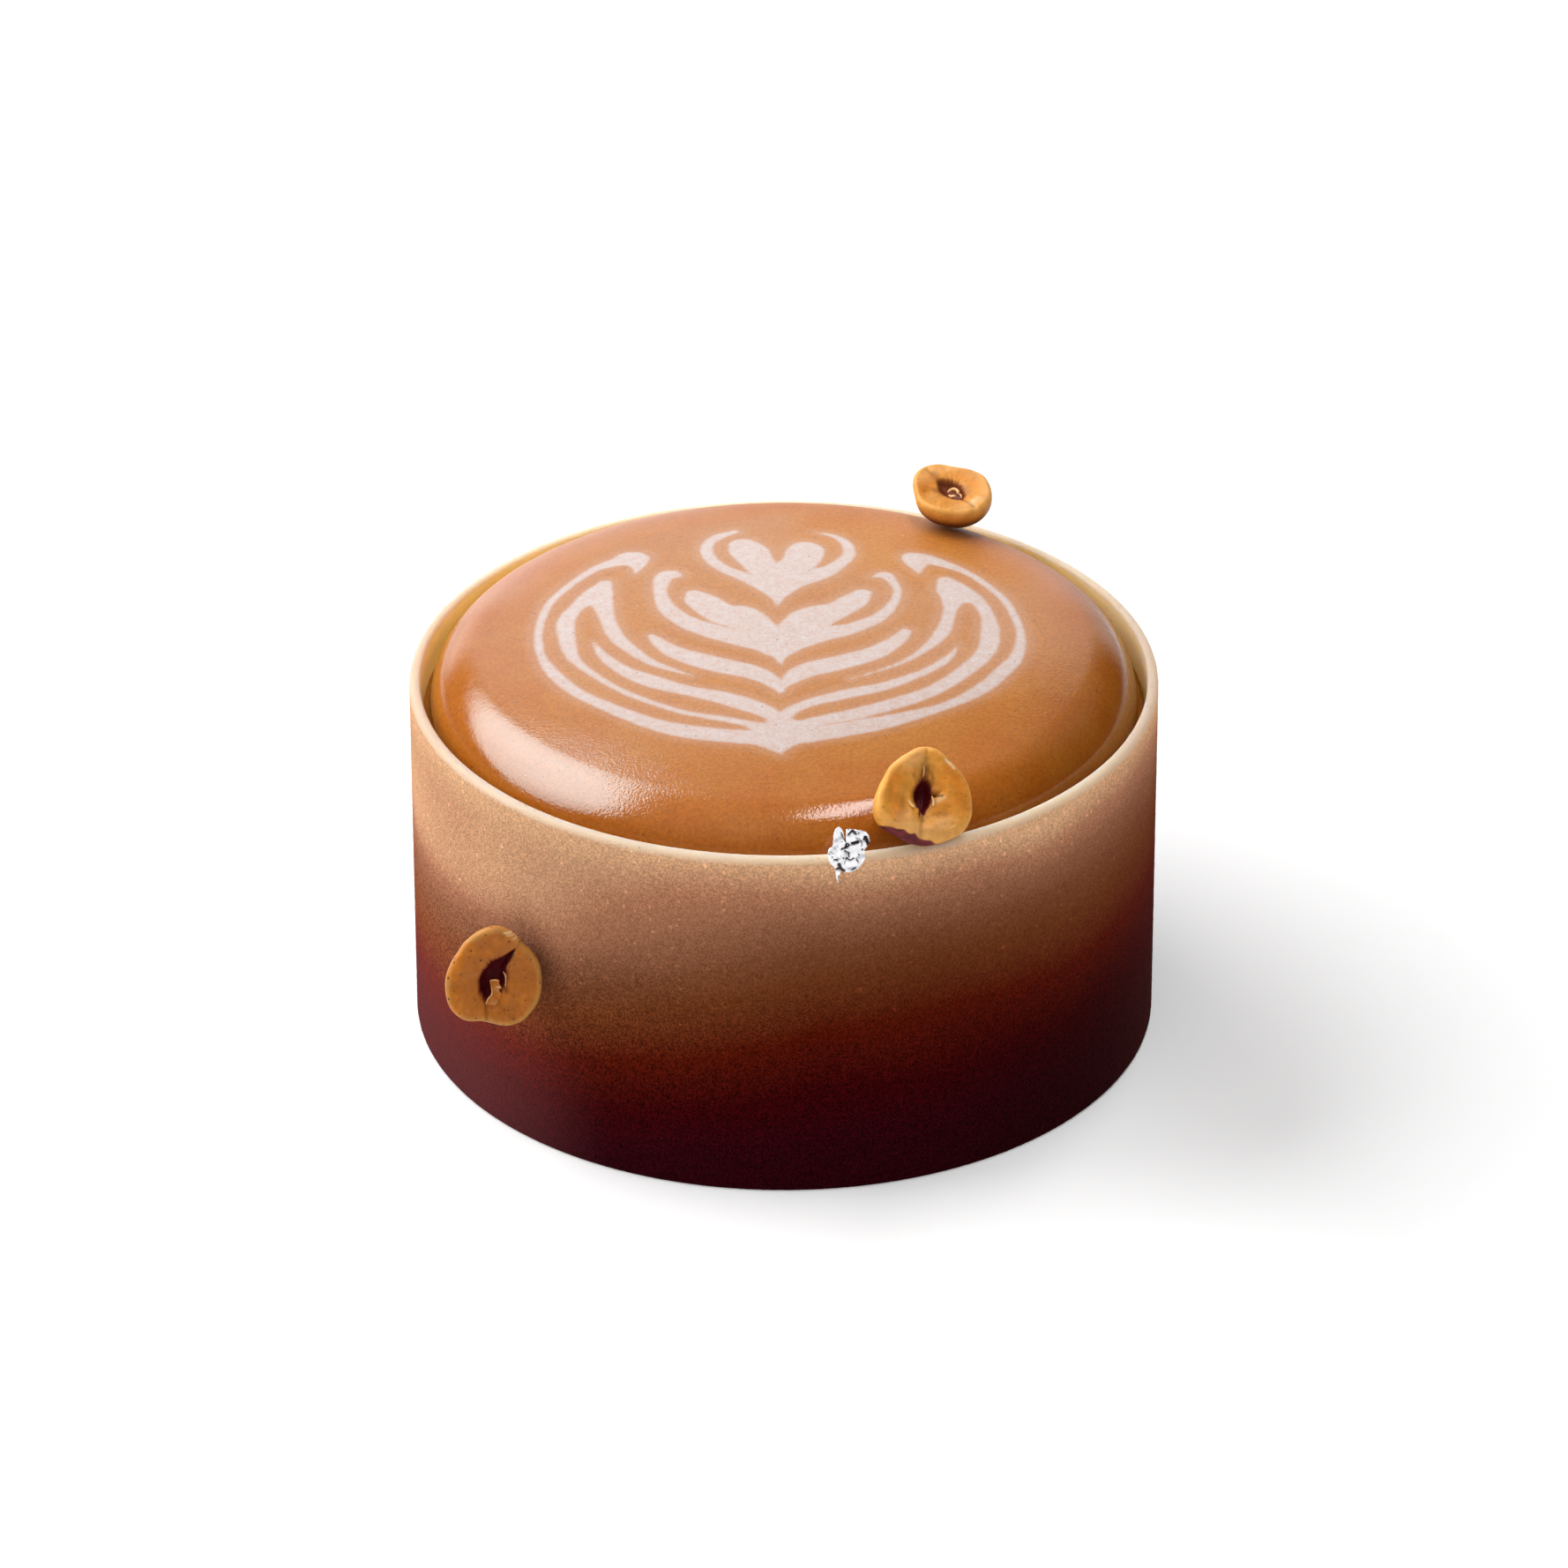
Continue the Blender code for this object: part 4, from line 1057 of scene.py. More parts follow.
def turned(name, profile, material, segments, relief, relief_size):
    """A piece turned from a chain of (r, z, grain) points."""
    mesh = bpy.data.meshes.new(name + "_profile")
    edges = [(i, i + 1) for i in range(len(profile) - 1)]
    mesh.from_pydata([(r, 0.0, z) for r, z, _ in profile], edges, [])
    store(mesh, "grain", [grain for _, _, grain in profile])
    values = {"Segments": segments, "Relief": relief, "Relief Size": relief_size, "Material": material}
    return grown(name, mesh, once("turned_solid", make_turned_solid), values)


def corners(mesh):
    points = np.empty(len(mesh.vertices) * 3)
    mesh.vertices.foreach_get("co", points)
    return points.reshape(-1, 3)


def face_outwards(mesh):
    """Turns a closed mesh's faces round if they enclose a negative volume."""
    mesh.calc_loop_triangles()
    index = np.empty(len(mesh.loop_triangles) * 3, np.int32)
    mesh.loop_triangles.foreach_get("vertices", index)
    triangles = corners(mesh)[index.reshape(-1, 3)]
    if np.linalg.det(triangles).sum() < 0:
        mesh.flip_normals()


def store(mesh, name, values):
    kept = mesh.attributes.new(name, "FLOAT", "POINT")
    kept.data.foreach_set("value", np.asarray(values, np.float32))


def smooth_path(points, steps):
    """Points on a Catmull-Rom curve through the given ones, any number of values each."""
    points = np.array(points, float)
    padded = np.vstack([2 * points[0] - points[1], points, 2 * points[-1] - points[-2]])
    path = []
    for a, b, c, d in zip(padded, padded[1:], padded[2:], padded[3:]):
        for t in np.linspace(0, 1, steps, endpoint=False):
            bend = (2 * a - 5 * b + 4 * c - d) * t**2 + (3 * b - a - 3 * c + d) * t**3
            path.append(0.5 * (2 * b + (c - a) * t + bend))
    return np.array(path + [points[-1]])


def stroke_distance(places, path):
    """Distance of flat places from a tapered stroke of (x, y, half width), negative inside it."""
    least = np.full(len(places), FAR)
    for start, end in zip(path, path[1:]):
        run = end[:2] - start[:2]
        away = places - start[:2]
        share = np.clip(away @ run / max(run @ run, 1e-9), 0, 1)
        gap = np.hypot(away[:, 0] - share * run[0], away[:, 1] - share * run[1])
        least = np.minimum(least, gap - (start[2] + share * (end[2] - start[2])))
    return least


def line_distance(places, points):
    """Distance of flat places from a smooth line through the points."""
    return stroke_distance(places, smooth_path([(*p, 0.0) for p in points], 8))


def foam_distance(places):
    """Distance in millimetres from the milk-foam pattern, the strokes blended softly where they meet."""
    total = np.full(len(places), FAR)
    for stroke in FOAM_STROKES:
        path = smooth_path(stroke, 6)
        path[:, 2] = np.maximum(path[:, 2], 0.05)
        other = stroke_distance(places, path)
        near = np.maximum(FOAM_BLEND - np.abs(total - other), 0) / FOAM_BLEND
        total = np.minimum(total, other) - near**2 * FOAM_BLEND / 4
    return total


class Shell:
    """Collects closed surfaces, with a value per point for each named attribute, into one mesh."""

    def __init__(self, *names):
        self.points = []
        self.faces = []
        self.values = {name: [] for name in names}

    def add(self, points, faces, **values):
        start = len(self.points)
        self.points.extend(tuple(p) for p in points)
        self.faces.extend(tuple(start + i for i in face) for face in faces)
        for name, kept in self.values.items():
            kept.extend(np.broadcast_to(values.get(name, 0.0), len(points)))

    def mesh(self, name, material):
        made = bpy.data.meshes.new(name)
        made.from_pydata(self.points, [], self.faces)
        for attribute, kept in self.values.items():
            store(made, attribute, kept)
        made.materials.append(material)
        edit = bmesh.new()
        edit.from_mesh(made)
        bmesh.ops.recalc_face_normals(edit, faces=edit.faces)
        edit.to_mesh(made)
        edit.free()
        made.shade_smooth()
        return made


def ring_faces(ring_sizes):
    """Faces between neighbouring rings of points, where a ring of one point is a pole."""
    faces = []
    start = 0
    for first, second in zip(ring_sizes, ring_sizes[1:]):
        sides = max(first, second)
        for i in range(sides):
            j = (i + 1) % sides
            far = start + first
            loop = (start + i % first, start + j % first, far + j % second, far + i % second)
            faces.append(tuple(dict.fromkeys(loop)))
        start += first
    return faces


def add_rings(shell, rings, **values):
    shell.add(np.vstack(rings), ring_faces([len(ring) for ring in rings]), **values)


def ripples(places, size, seed):
    """Smooth unevenness from -1 to 1 with features of about that size, the same each run."""
    draw = np.random.default_rng(seed)
    total = np.zeros(len(places))
    for _ in range(7):
        direction = draw.normal(size=places.shape[1])
        direction *= draw.uniform(0.6, 1.5) * math.pi / size / np.linalg.norm(direction)
        total += np.sin(places @ direction + draw.uniform(0, 2 * math.pi))
    return total / 4


def bell(reach):
    """1 at no reach, falling off smoothly."""
    return np.exp(-(reach**2))


def directions(turns):
    """Flat directions for turns in radians, clockwise from straight up."""
    return np.stack([np.sin(turns), np.cos(turns)], 1)


def around(pairs, turns):
    """Values read from (direction in degrees, value) pairs round a ring, for turns in radians."""
    degrees, values = np.array(sorted(pairs), float).T
    return np.interp(np.degrees(turns), degrees, values, period=360)


def soften(ring, reach):
    """A ring of values averaged with its neighbours."""
    weights = [reach + 1 - abs(i) for i in range(-reach, reach + 1)]
    return sum(w * np.roll(ring, i) for w, i in zip(weights, range(-reach, reach + 1))) / sum(weights)


def kernel_rings(kernel, segments):
    """The kernel's outline and hollow edge, as points in its face plane in millimetres."""
    turns = np.linspace(0, 2 * math.pi, segments, endpoint=False)
    ways = directions(turns)
    waves = sum(s * np.cos((n + 2) * (turns - math.radians(d))) for n, (s, d) in enumerate(kernel["lobes"]))
    radius = kernel["mean"] * (1 + waves) + soften(around(kernel["trim"], turns), 5)
    radius += 0.05 * ripples(ways * kernel["mean"], size=1.6, seed=17)
    reach = soften(around(kernel["hollow_edge"], turns), 2)
    reach *= 1 + 0.035 * ripples(ways * 3, size=0.5, seed=4)
    return turns, radius[:, None] * ways, np.array(kernel["hollow"][:2]) + reach[:, None] * ways


def dented(kernel, places):
    """Height added to the cut face by dents, splits and fine unevenness."""
    height = 0.05 * ripples(places, size=2.6, seed=8) + 0.022 * ripples(places, size=0.9, seed=9)
    for across, up, half_across, half_up, turn, lift in kernel["dents"]:
        c, s = math.cos(math.radians(turn)), math.sin(math.radians(turn))
        x, y = places[:, 0] - across, places[:, 1] - up
        height += lift * np.exp(-(((c * x - s * y) / half_across) ** 2) - ((s * x + c * y) / half_up) ** 2)
    for width, depth, points in kernel["splits"]:
        height -= depth * bell(np.maximum(line_distance(places, points), 0) / width)
    return height


def stained(kernel, places, kind):
    """How much of one kind of stain lies on each place of the face."""
    total = np.zeros(len(places))
    for what, strength, half_width, points in kernel["stains"]:
        if what == kind:
            gap = line_distance(places, points) / half_width + 0.22 * ripples(places, size=0.6, seed=3)
            total = np.maximum(total, strength * bell(np.maximum(gap, 0)))
    return total


def skin_share(kernel, turns, height):
    """1 where the papery skin still covers the kernel, 0 on bare flesh."""
    ragged = 0.35 * ripples(directions(turns) * kernel["mean"], size=1.1, seed=2)
    return np.clip((-height - around(kernel["skin"], turns) + ragged) / 0.25, 0, 1)


def hollow_rings(kernel, hollow):
    """The hollow from its deepest point up to its edge, as (points, values) rings."""
    middle = np.array(kernel["hollow"][:2])
    deep = kernel["hollow"][2]
    inside = {"brown": 0.5, "edge": NO_EDGE}
    yield np.array([[*middle, -FACE_DISH - deep]]), {**inside, "hollow": kernel["reddened"]}
    for share in np.linspace(0.12, 1.0, HOLLOW_ROWS)[:-1]:
        flat = middle + share * (hollow - middle)
        height = -FACE_DISH - deep * (1 - share**3.2) ** 0.6 - LIP_HEIGHT
        wrinkle = 0.12 * ripples(np.column_stack([flat, np.full(len(flat), share * 3)]), size=1.2, seed=5)
        redness = kernel["reddened"] * float(np.clip(1.5 - 0.8 * share**6, 0, 1))
        yield np.column_stack([flat, height + wrinkle]), {**inside, "hollow": redness}


def face_rings(kernel, turns, outline, hollow):
    """The cut face from the hollow's edge out over the rounded edge."""
    rounding = kernel["rounding"]
    spans = np.linalg.norm(outline - hollow, axis=1)
    for u in np.linspace(0.0, 1.0, FACE_ROWS):
        share = 1 - (1 - u) ** 1.5
        flat = hollow + share * (outline - hollow)
        left = (1 - share) * spans
        inward = 1 - np.minimum(1.0, left / rounding)
        drop = rounding * (1 - np.sqrt(1 - inward**2))
        fade = np.clip(left / 0.8, 0, 1)
        lip = LIP_HEIGHT * bell(share * spans / LIP_WIDTH)
        height = -FACE_DISH * (1 - share) ** 2 - drop + fade * dented(kernel, flat) - lip
        values = {kind: stained(kernel, flat, kind) for kind in ("amber", "pale", "dark")}
        values["brown"] = np.maximum(stained(kernel, flat, "brown"), 0.5 * bell(share * spans / TORN_WIDTH))
        values["edge"] = left
        values["fibre"] = fade * ripples(np.column_stack([turns * 9, left * 0.5]), size=0.6, seed=19)
        values["hollow"] = float(max(0.0, 0.5 - 4 * share))
        values["skin"] = skin_share(kernel, turns, height)
        yield np.column_stack([flat, height]), values


def back_rings(kernel, turns, outline):
    """The full back, from the rounded edge to its far point."""
    # Painted shade: brown over the back, deepening towards its far point
    shade_below = kernel["shade_below"]
    depth = kernel["depth"] - kernel["rounding"]
    most, fullest, spread = kernel["bulge"]
    fullness = most * bell(((np.degrees(turns) - fullest + 180) % 360 - 180) / spread)
    for angle in np.linspace(0, math.pi / 2, BACK_ROWS)[1:-1]:
        height = np.full(len(turns), -kernel["rounding"] - depth * math.sin(angle))
        rough = 0.010 * math.sin(angle) * (1 + ripples(np.column_stack([outline, height]), size=2.0, seed=6))
        share = math.cos(angle) + fullness * math.sin(2 * angle)
        values = {
            "edge": 0.8 + 3.0 * (1 - math.cos(angle)),
            "skin": skin_share(kernel, turns, height),
            "brown": shade_below * np.clip((-height - 1.3) / 1.8, 0, 1),
        }
        yield np.column_stack([(share * (1 - rough))[:, None] * outline, height]), values
    yield np.array([[0.0, 0.0, -kernel["depth"]]]), {"skin": 1.0 - shade_below, "brown": shade_below}


def add_kernel_body(shell, kernel, segments):
    """The half kernel itself: hollow, cut face, rounded edge and full back, as one closed surface."""
    turns, outline, hollow = kernel_rings(kernel, segments)
    rings = list(hollow_rings(kernel, hollow))
    rings += face_rings(kernel, turns, outline, hollow)
    rings += back_rings(kernel, turns, outline)
    values = {
        name: np.concatenate([np.broadcast_to(given.get(name, 0.0), len(points)) for points, given in rings])
        for name in shell.values
    }
    values["tone"] = kernel["tone"]
    add_rings(shell, [points for points, _ in rings], **values)


def face_height(kernel, places):
    """Height of the cut face at flat places, for what lies on it."""
    share = np.clip(np.linalg.norm(places, axis=1) / kernel["mean"], 0, 1)
    return -FACE_DISH * (1 - share) ** 2


def add_shred(shell, kernel, shred, sides=8):
    """A torn shred of flesh: a thin tapered strand along a curve on the face."""
    half_width, thickness, lift, points = shred
    path = smooth_path(points, 7)
    ahead = np.gradient(path, axis=0)
    ahead /= np.linalg.norm(ahead, axis=1, keepdims=True)
    sideways = np.column_stack([ahead[:, 1], -ahead[:, 0]])
    base = face_height(kernel, path) + lift + 0.06 * ripples(path, size=0.7, seed=12)
    swell = np.sqrt(np.clip(np.sin(np.linspace(0.06, math.pi - 0.06, len(path))), 0, 1))
    swell *= 1 + 0.25 * ripples(path, size=0.6, seed=13)
    rings = [np.array([[*path[0], base[0]]])]
    for i in range(1, len(path) - 1):
        ring = []
        for k in range(sides):
            angle = 2 * math.pi * k / sides
            reach = half_width * swell[i] * math.cos(angle)
            rise = 0.5 * thickness * swell[i] * math.sin(angle)
            ring.append((*(path[i] + reach * sideways[i]), base[i] + rise))
        rings.append(np.array(ring))
    rings.append(np.array([[*path[-1], base[-1]]]))
    # Painted light and shade: the shred paler on top than underneath
    pale = 0.32 + 0.30 * np.clip((np.vstack(rings)[:, 2] - np.mean(base)) / thickness, -1, 1)
    add_rings(shell, rings, pale=pale, edge=1.0, tone=kernel["tone"])


def sheet(outline, spacing, seed):
    """Triangles over a flat outline: its points, faces, and how many points its edge has."""
    draw = np.random.default_rng(seed)
    edge = np.array(outline, float)
    closed = np.vstack([edge, edge[:1]])
    runs = np.r_[0, np.cumsum(np.linalg.norm(np.diff(closed, axis=0), axis=1))]
    stations = np.linspace(0, runs[-1], round(runs[-1] / spacing), endpoint=False)
    border = np.stack([np.interp(stations, runs, closed[:, i]) for i in (0, 1)], 1)
    border += draw.normal(scale=0.16 * spacing, size=border.shape)
    low, high = border.min(0), border.max(0)
    xs, ys = np.meshgrid(np.arange(low[0], high[0], spacing), np.arange(low[1], high[1], spacing * 0.87))
    xs[1::2] += spacing / 2
    inner = np.stack([xs.ravel(), ys.ravel()], 1) + draw.uniform(-0.18, 0.18, (xs.size, 2)) * spacing
    near = np.full(len(inner), FAR)
    crossings = np.zeros(len(inner), int)
    for start, end in zip(border, np.roll(border, -1, axis=0)):
        near = np.minimum(near, np.hypot(inner[:, 0] - start[0], inner[:, 1] - start[1]))
        spans = (start[1] > inner[:, 1]) != (end[1] > inner[:, 1])
        slope = (end[0] - start[0]) / (end[1] - start[1] if end[1] != start[1] else 1e-9)
        crossings += spans & (inner[:, 0] < start[0] + (inner[:, 1] - start[1]) * slope)
    inner = inner[(crossings % 2 == 1) & (near > 0.6 * spacing)]
    every = [Vector(p) for p in np.vstack([border, inner])]
    edges = [(i, (i + 1) % len(border)) for i in range(len(border))]
    points, _, faces, *_ = delaunay_2d_cdt(every, edges, [], 1, 1e-7)
    return np.array([tuple(p) for p in points]), [tuple(f) for f in faces], len(border)


def add_sheet(shell, faces, border, front, back, **values):
    """A thin solid from one triangulated sheet in two places, joined round its edge."""
    points = len(front)
    turned = [tuple(points + i for i in reversed(face)) for face in faces]
    rim = [(i, (i + 1) % border, points + (i + 1) % border, points + i) for i in range(border)]
    both = {name: np.tile(value, 2) for name, value in values.items()}
    shell.add(np.vstack([front, back]), list(faces) + turned + rim, **both)


def add_flap(shell, kernel, outline):
    """A torn flap of flesh that hangs over the hollow, thin at its free edge."""
    flat, faces, border = sheet(outline, 0.16, 21)
    free = np.clip((flat[:, 1] + 3.4) / 3.0, 0, 1)
    lump = 0.16 * ripples(flat, size=1.1, seed=15) + 0.07 * ripples(flat, size=0.5, seed=16)
    height = face_height(kernel, flat) + 0.06 - 0.30 * free + lump
    thin = 0.55 - 0.30 * free
    top = np.column_stack([flat, height])
    under = np.column_stack([flat, height - thin])
    # Painted light: paler on the flap's raised lumps
    values = {"pale": np.clip(0.75 * lump, 0, 0.15), "edge": np.full(len(flat), 3.0)}
    add_sheet(shell, faces, border, top, under, tone=np.full(len(flat), kernel["tone"]), **values)


def kernel_frame(kernel):
    """The cut face's frame: right, up and outward axes as columns, at its centre, in metres."""
    azimuth, elevation = (math.radians(v) for v in kernel["facing"])
    level = Vector((math.sin(azimuth), -math.cos(azimuth), 0.0))
    out = level * math.cos(elevation) + Vector((0, 0, math.sin(elevation)))
    up = -level * math.sin(elevation) + Vector((0, 0, math.cos(elevation)))
    place = Matrix((up.cross(out), up, out)).transposed().to_4x4()
    place.translation = kernel["centre"]
    return place @ Matrix.Scale(MM, 4)


def folds(places, seed, ridges, longest, shortest):
    """Creased unevenness from 0 to 1, as in crumpled foil: straight ridges in several directions."""
    draw = np.random.default_rng(seed)
    total = np.zeros(len(places))
    weights = 0.0
    for i in range(ridges):
        size = longest * (shortest / longest) ** (i / (ridges - 1))
        angle = draw.uniform(0, math.pi)
        run = places @ np.array((math.cos(angle), math.sin(angle))) / size + draw.uniform(0, 1)
        bend = 0.35 * np.sin(places @ draw.normal(size=2) / size * 2)
        total += size * np.abs(((run + bend) % 1.0) * 2 - 1)
        weights += size
    return total / weights


def leaf_gaps(flat):
    """1 in the leaf's creases, darkened as painted shade, in its gaps and small specks, 0 on bright silver.
    """
    gap = np.zeros(len(flat))
    for half_width, points in LEAF_MARKS:
        away = line_distance(flat, points) + 0.04 * ripples(flat, size=0.3, seed=45)
        gap = np.maximum(gap, np.clip(2.6 - 2.2 * away / half_width, 0, 1))
    speck = np.clip((ripples(flat, size=0.25, seed=46) - 0.55) / 0.2, 0, 1)
    return np.maximum(gap, speck * np.clip((ripples(flat, size=1.3, seed=47) - 0.1) / 0.2, 0, 1))


def leaf_place(flat, crumple, outward):
    """Points of the leaf, in metres: outside the wall below the rim, leaning in above it."""
    azimuth = math.radians(LEAF_AZIMUTH) + flat[:, 0] * MM / WALL_RADIUS
    above = (LEAF_ABOVE_RIM + flat[:, 1]) * MM
    lean = np.maximum(0.0, above) * math.tan(math.radians(LEAF_LEAN))
    radius = WALL_RADIUS + TOUCH_GAP + crumple + outward - lean
    return np.column_stack([radius * np.sin(azimuth), -radius * np.cos(azimuth), WALL_HEIGHT + above])


def cake():
    return bpy.context.scene.latte_cake


class CAKE_OT_wall(bpy.types.Operator):
    """Make the thin velvet-sprayed ring"""

    bl_idname = "latte_cake.wall"
    bl_label = "Velvet Wall"

    def execute(self, context):
        look = cake().velvet
        relief = (look.segments, look.relief, look.relief_size)
        wall = turned("velvet_wall", wall_profile(), velvet_material(look), *relief)
        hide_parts("wall")
        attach(wall, "root")
        return {"FINISHED"}


class CAKE_OT_granules(bpy.types.Operator):
    """Scatter the loose velvet granules over the ring"""

    bl_idname = "latte_cake.granules"
    bl_label = "Velvet Granules"

    def execute(self, context):
        look = cake().velvet
        wall = bpy.data.objects["velvet_wall"]
        values = {
            "Density": look.granules / CM**2,
            "Smallest": look.granule_smallest,
            "Largest": look.granule_largest,
            "Sink": -0.35 * look.granule_largest,
            "Radius": WALL_RADIUS,
            "Material": wall.data.materials[0],
        }
        tree = once("loose_granules", make_loose_granules)
        granules = grown("velvet_granules", wall.data.copy(), tree, values)
        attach(granules, "root")
        return {"FINISHED"}


class CAKE_OT_filling(bpy.types.Operator):
    """Make the filling with its glazed dome and the milk-foam leaf on it"""

    bl_idname = "latte_cake.filling"
    bl_label = "Glazed Filling"

    def execute(self, context):
        look = cake().glaze
        relief = (look.segments, look.ripple, look.ripple_size)
        filling = turned("glazed_filling", filling_profile(), glaze_material(look), *relief)
        points = corners(filling.data) / MM
        top = (np.hypot(points[:, 0], points[:, 1]) < FOAM_REACH) & (points[:, 2] > WALL_HEIGHT / MM)
        foam = np.full(len(points), NO_FOAM)
        foam[top] = foam_distance(points[top, :2])
        store(filling.data, "foam", foam)
        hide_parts("filling")
        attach(filling, "root")
        return {"FINISHED"}


class CAKE_OT_kernels(bpy.types.Operator):
    """Make the three hazelnut halves"""

    bl_idname = "latte_cake.kernels"
    bl_label = "Hazelnut Halves"

    def execute(self, context):
        look = cake().kernel
        material = kernel_material(look)
        for name, kernel in KERNELS.items():
            shell = Shell("tone", "edge", "fibre", "amber", "brown", "pale", "dark", "hollow", "skin")
            add_kernel_body(shell, kernel, look.segments)
            for shred in kernel["shreds"]:
                add_shred(shell, kernel, shred)
            for outline in kernel["flaps"]:
                add_flap(shell, kernel, outline)
            half = add_object(name + "_half", shell.mesh(name + "_half", material))
            half.data.transform(kernel_frame(kernel))
            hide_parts(name)
            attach(half, "root")
        return {"FINISHED"}


class CAKE_OT_leaf(bpy.types.Operator):
    """Make the crumpled scrap of silver leaf on the rim"""

    bl_idname = "latte_cake.leaf"
    bl_label = "Silver Leaf"

    def execute(self, context):
        look = cake().leaf
        flat, faces, border = sheet(LEAF_EDGE, look.spacing / MM, 31)
        gap = leaf_gaps(flat)
        large = folds(flat, seed=41, ridges=7, longest=3.2, shortest=0.8)
        small = folds(flat, seed=42, ridges=5, longest=0.9, shortest=0.35)
        crumple = look.crumple * (0.65 * large + 0.35 * small)
        crumple = np.maximum(crumple - 0.5 * look.crumple * gap, 0.05 * MM)
        front = leaf_place(flat, crumple, look.thickness)
        back = leaf_place(flat, crumple, 0.0)
        # Facets that get painted shade and a weaker painted glint
        facet = np.clip(2.2 * folds(flat, seed=43, ridges=5, longest=1.9, shortest=0.5) - 0.85, 0, 1)
        shell = Shell("gap", "facet")
        add_sheet(shell, faces, border, front, back, gap=gap, facet=facet)
        leaf = add_object("silver_leaf_scrap", shell.mesh("silver_leaf_scrap", leaf_material(look)))
        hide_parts("silver_leaf")
        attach(leaf, "root")
        return {"FINISHED"}


def looking(direction, roll):
    """The turn that looks in a direction, rolled by an angle in radians."""
    return direction.to_track_quat("-Z", "Y").to_matrix().to_4x4() @ Matrix.Rotation(roll, 4, "Z")


def aimed(azimuth_deg, elevation_deg, distance, roll_deg, target_height):
    """A matrix for a light in that direction, facing the cake. Azimuth 0 is the front, + the right."""
    azimuth, elevation = math.radians(azimuth_deg), math.radians(elevation_deg)
    level = math.cos(elevation)
    away = Vector((math.sin(azimuth) * level, -math.cos(azimuth) * level, math.sin(elevation)))
    spot = away * distance + Vector((0, 0, target_height))
    return Matrix.Translation(spot) @ looking(-away, math.radians(roll_deg))


def add_panel_light(name, shape, size, radiance, place):
    light = bpy.data.lights.new(name, "AREA")
    light.shape = shape
    light.size, light.size_y = size
    area = size[0] * size[1] * (math.pi / 4 if shape == "ELLIPSE" else 1.0)
    light.energy = radiance * math.pi * area
    made = add_object(name, light)
    made.matrix_world = aimed(*place)
    return made


def softbox_panel(graph, way):
    """The softbox in the directions that gloss sees: the mask of its lopsided oval, and its brightness."""
    axes = aimed(*SOFTBOX_SEEN_FROM_GLAZE).to_3x3().transposed()
    across, over, depth = (graph.dot(way, tuple(axis)) for axis in axes)
    sideways = across / depth
    along = abs(sideways / graph.ease(sideways, -0.05, 0.05, *PANEL_REACH))
    over = over / (depth * PANEL_HALF_WIDTH)
    power = graph.ease(sideways, -0.05, 0.05, *PANEL_POWER)
    reach = along**power + abs(over) ** power
    bright = graph.ease(along, 0.2, 1.1, 1.0, 0.55) * graph.ease(over, -1.0, 0.4, 0.6, 1.0)
    return graph.ease(reach, 1.04, 0.94) * graph.math("GREATER_THAN", depth, 0.1), bright


def background(graph, tint, strength):
    return graph.first("ShaderNodeBackground", {"Color": tint, "Strength": strength})


def add_room(look):
    """A white room: plain where the camera sees it, dimmer as light, with a backdrop for gloss."""
    world = bpy.data.worlds.new("studio_room")
    world.use_nodes = True
    world.node_tree.nodes.clear()
    graph = Graph(world.node_tree)
    way = graph.output("Generated", "ShaderNodeTexCoord")
    right, back, up = graph.split(way)

    # Light on the cake: from ahead, from the horizon behind, and held off from the right by a flag
    behind = graph.ease(up, 0.42, 0.0) * graph.ease(back, 0.35, 0.85) * look.horizon
    ahead = graph.ease(back, 0.1, -0.5, look.room, look.front)
    flag = graph.ease(right, 0.35, 0.75) * graph.ease(back, -0.35, 0.0)
    strength = (behind + ahead) * graph.ease(flag, 0.0, 1.0, 1.0, 0.2)

    # What gloss sees: a dim room, a pale backdrop that narrows upwards, and the softbox
    rise = (graph.math("MAXIMUM", up, 0.0) / BACKDROP_HEIGHT) ** 1.6
    beyond = abs(right + 0.03) - (1.0 - rise) * 0.50
    backdrop = graph.ease(beyond, 0.03, 0.0) * graph.ease(back, 0.0, 0.2)
    dim = graph.ease(right, 0.30, -0.20, 0.12, 1.0) * graph.ease(up, 0.35, 1.0, 0.15, 0.70)
    haze = graph.ease(back, 0.3, 0.75, 0.0, 0.25) * graph.ease(up, 0.3, 0.7)
    gloss = graph.mix(backdrop, dim + haze, 1.25 - right * 1.2, "FLOAT")
    panel, shining = softbox_panel(graph, way)
    gloss = graph.mix(panel, gloss, graph.shaded(SOFTBOX_TINT, shining * look.mirrored))

    camera_ray, glossy_ray = graph.several(("Is Camera Ray", "Is Glossy Ray"), "ShaderNodeLightPath")
    lighting = {0: glossy_ray, 1: background(graph, WHITE, strength), 2: background(graph, gloss, 1.0)}
    lighting = graph.first("ShaderNodeMixShader", lighting)
    seen = {0: camera_ray, 1: lighting, 2: background(graph, WHITE, WHITE_ROOM)}
    graph.node("ShaderNodeOutputWorld", {"Surface": graph.first("ShaderNodeMixShader", seen)})
    bpy.context.scene.world = world


def add_camera():
    camera = bpy.data.cameras.new("photo_camera")
    camera.lens = CAMERA_LENS
    camera.clip_end = 50.0
    elevation = math.radians(CAMERA_ELEVATION)
    spot = Vector((0.0, -CAMERA_DISTANCE * math.cos(elevation), CAMERA_DISTANCE * math.sin(elevation)))
    aim = Vector((0.0, 0.0, CAMERA_AIM_HEIGHT)) - spot
    made = add_object("photo_camera", camera)
    made.matrix_world = Matrix.Translation(spot) @ looking(aim, CAMERA_ROLL)
    bpy.context.scene.camera = made


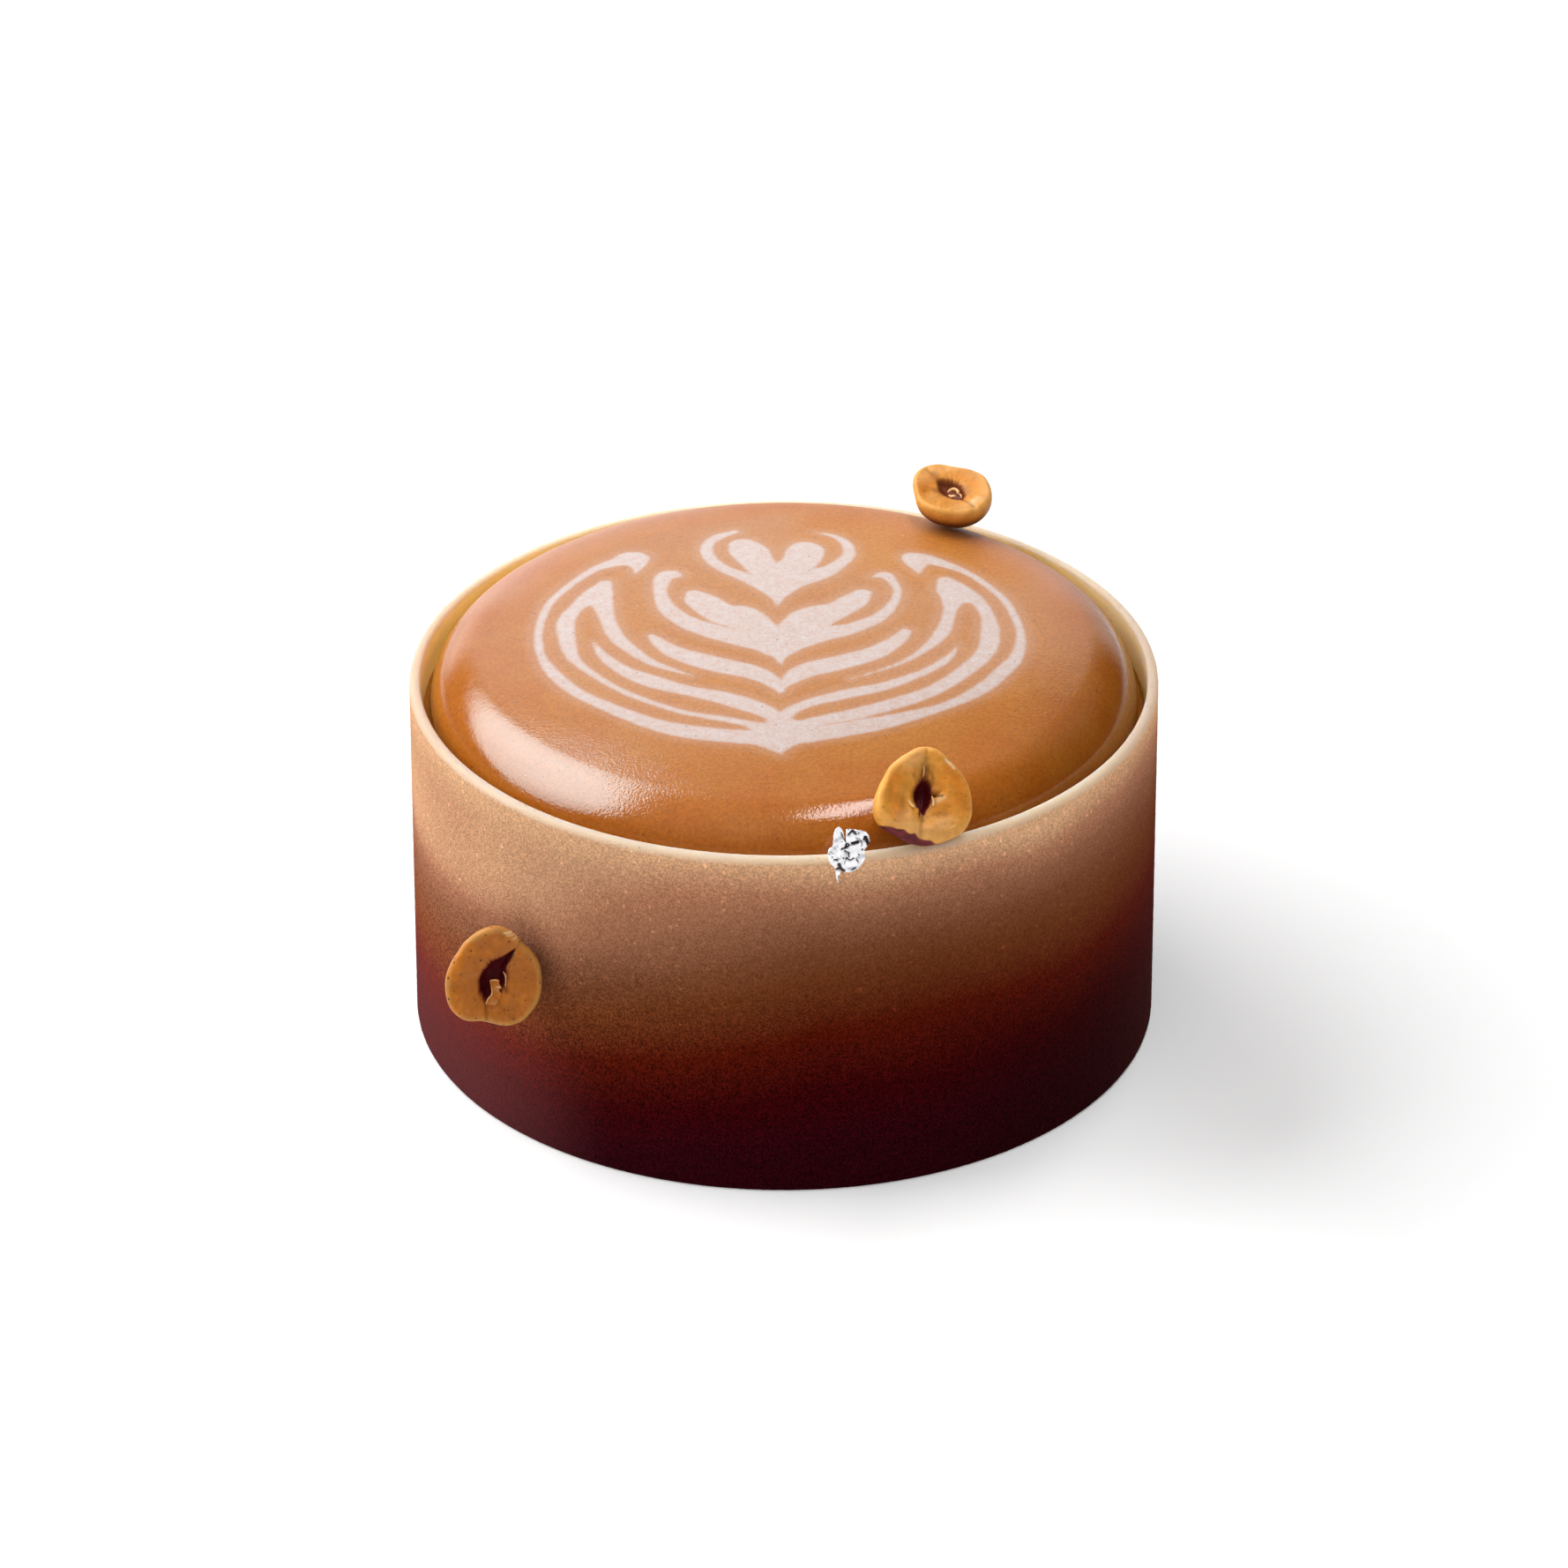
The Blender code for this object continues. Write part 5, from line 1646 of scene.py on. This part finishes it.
class CAKE_OT_stage(bpy.types.Operator):
    """Make the pale floor, the soft studio light and the camera"""

    bl_idname = "latte_cake.stage"
    bl_label = "Stage"

    def execute(self, context):
        look = cake().stage
        half = look.floor_size / 2
        mesh = bpy.data.meshes.new("studio_floor")
        floor = [(-half, -half, 0.0), (half, -half, 0.0), (half, half, 0.0), (-half, half, 0.0)]
        mesh.from_pydata(floor, [], [(0, 1, 2, 3)])
        mesh.materials.append(floor_material(look))
        add_object("studio_floor", mesh)
        softbox = add_panel_light("softbox_left", "ELLIPSE", SOFTBOX_SIZE, look.softbox, SOFTBOX_PLACE)
        softbox.visible_glossy = False
        add_panel_light("strip_overhead", "RECTANGLE", STRIP_SIZE, look.overhead, STRIP_PLACE)
        add_room(look)
        add_camera()
        bpy.context.scene.view_settings.view_transform = "Standard"
        return {"FINISHED"}


class CAKE_PT_sidebar(bpy.types.Panel):
    """Lists the cake's pieces"""

    bl_label = "Latte Cake"
    bl_idname = "CAKE_PT_sidebar"
    bl_space_type = "VIEW_3D"
    bl_region_type = "UI"
    bl_category = "Latte Cake"

    def draw(self, context):
        for operator in OPERATORS:
            self.layout.operator(operator.bl_idname)
        settings = cake()
        for name in ("velvet", "glaze", "kernel", "leaf", "stage"):
            box = self.layout.box()
            box.label(text=name.title())
            group = getattr(settings, name)
            for key in group.bl_rna.properties.keys():
                if key not in ("rna_type", "name"):
                    box.prop(group, key)


OPERATORS = (CAKE_OT_wall, CAKE_OT_granules, CAKE_OT_filling, CAKE_OT_kernels, CAKE_OT_leaf, CAKE_OT_stage)
SETTINGS = (VelvetSettings, GlazeSettings, KernelSettings, LeafSettings, StageSettings, CakeSettings)
CLASSES = (*SETTINGS, *OPERATORS, CAKE_PT_sidebar)


def register():
    for kind in CLASSES:
        bpy.utils.register_class(kind)
    bpy.types.Scene.latte_cake = bpy.props.PointerProperty(type=CakeSettings)


def unregister():
    del bpy.types.Scene.latte_cake
    for kind in reversed(CLASSES):
        bpy.utils.unregister_class(kind)


def main():
    register()
    bpy.ops.latte_cake.wall()
    bpy.ops.latte_cake.granules()
    bpy.ops.latte_cake.filling()
    bpy.ops.latte_cake.kernels()
    bpy.ops.latte_cake.leaf()
    bpy.ops.latte_cake.stage()


if __name__ == "__main__":
    main()
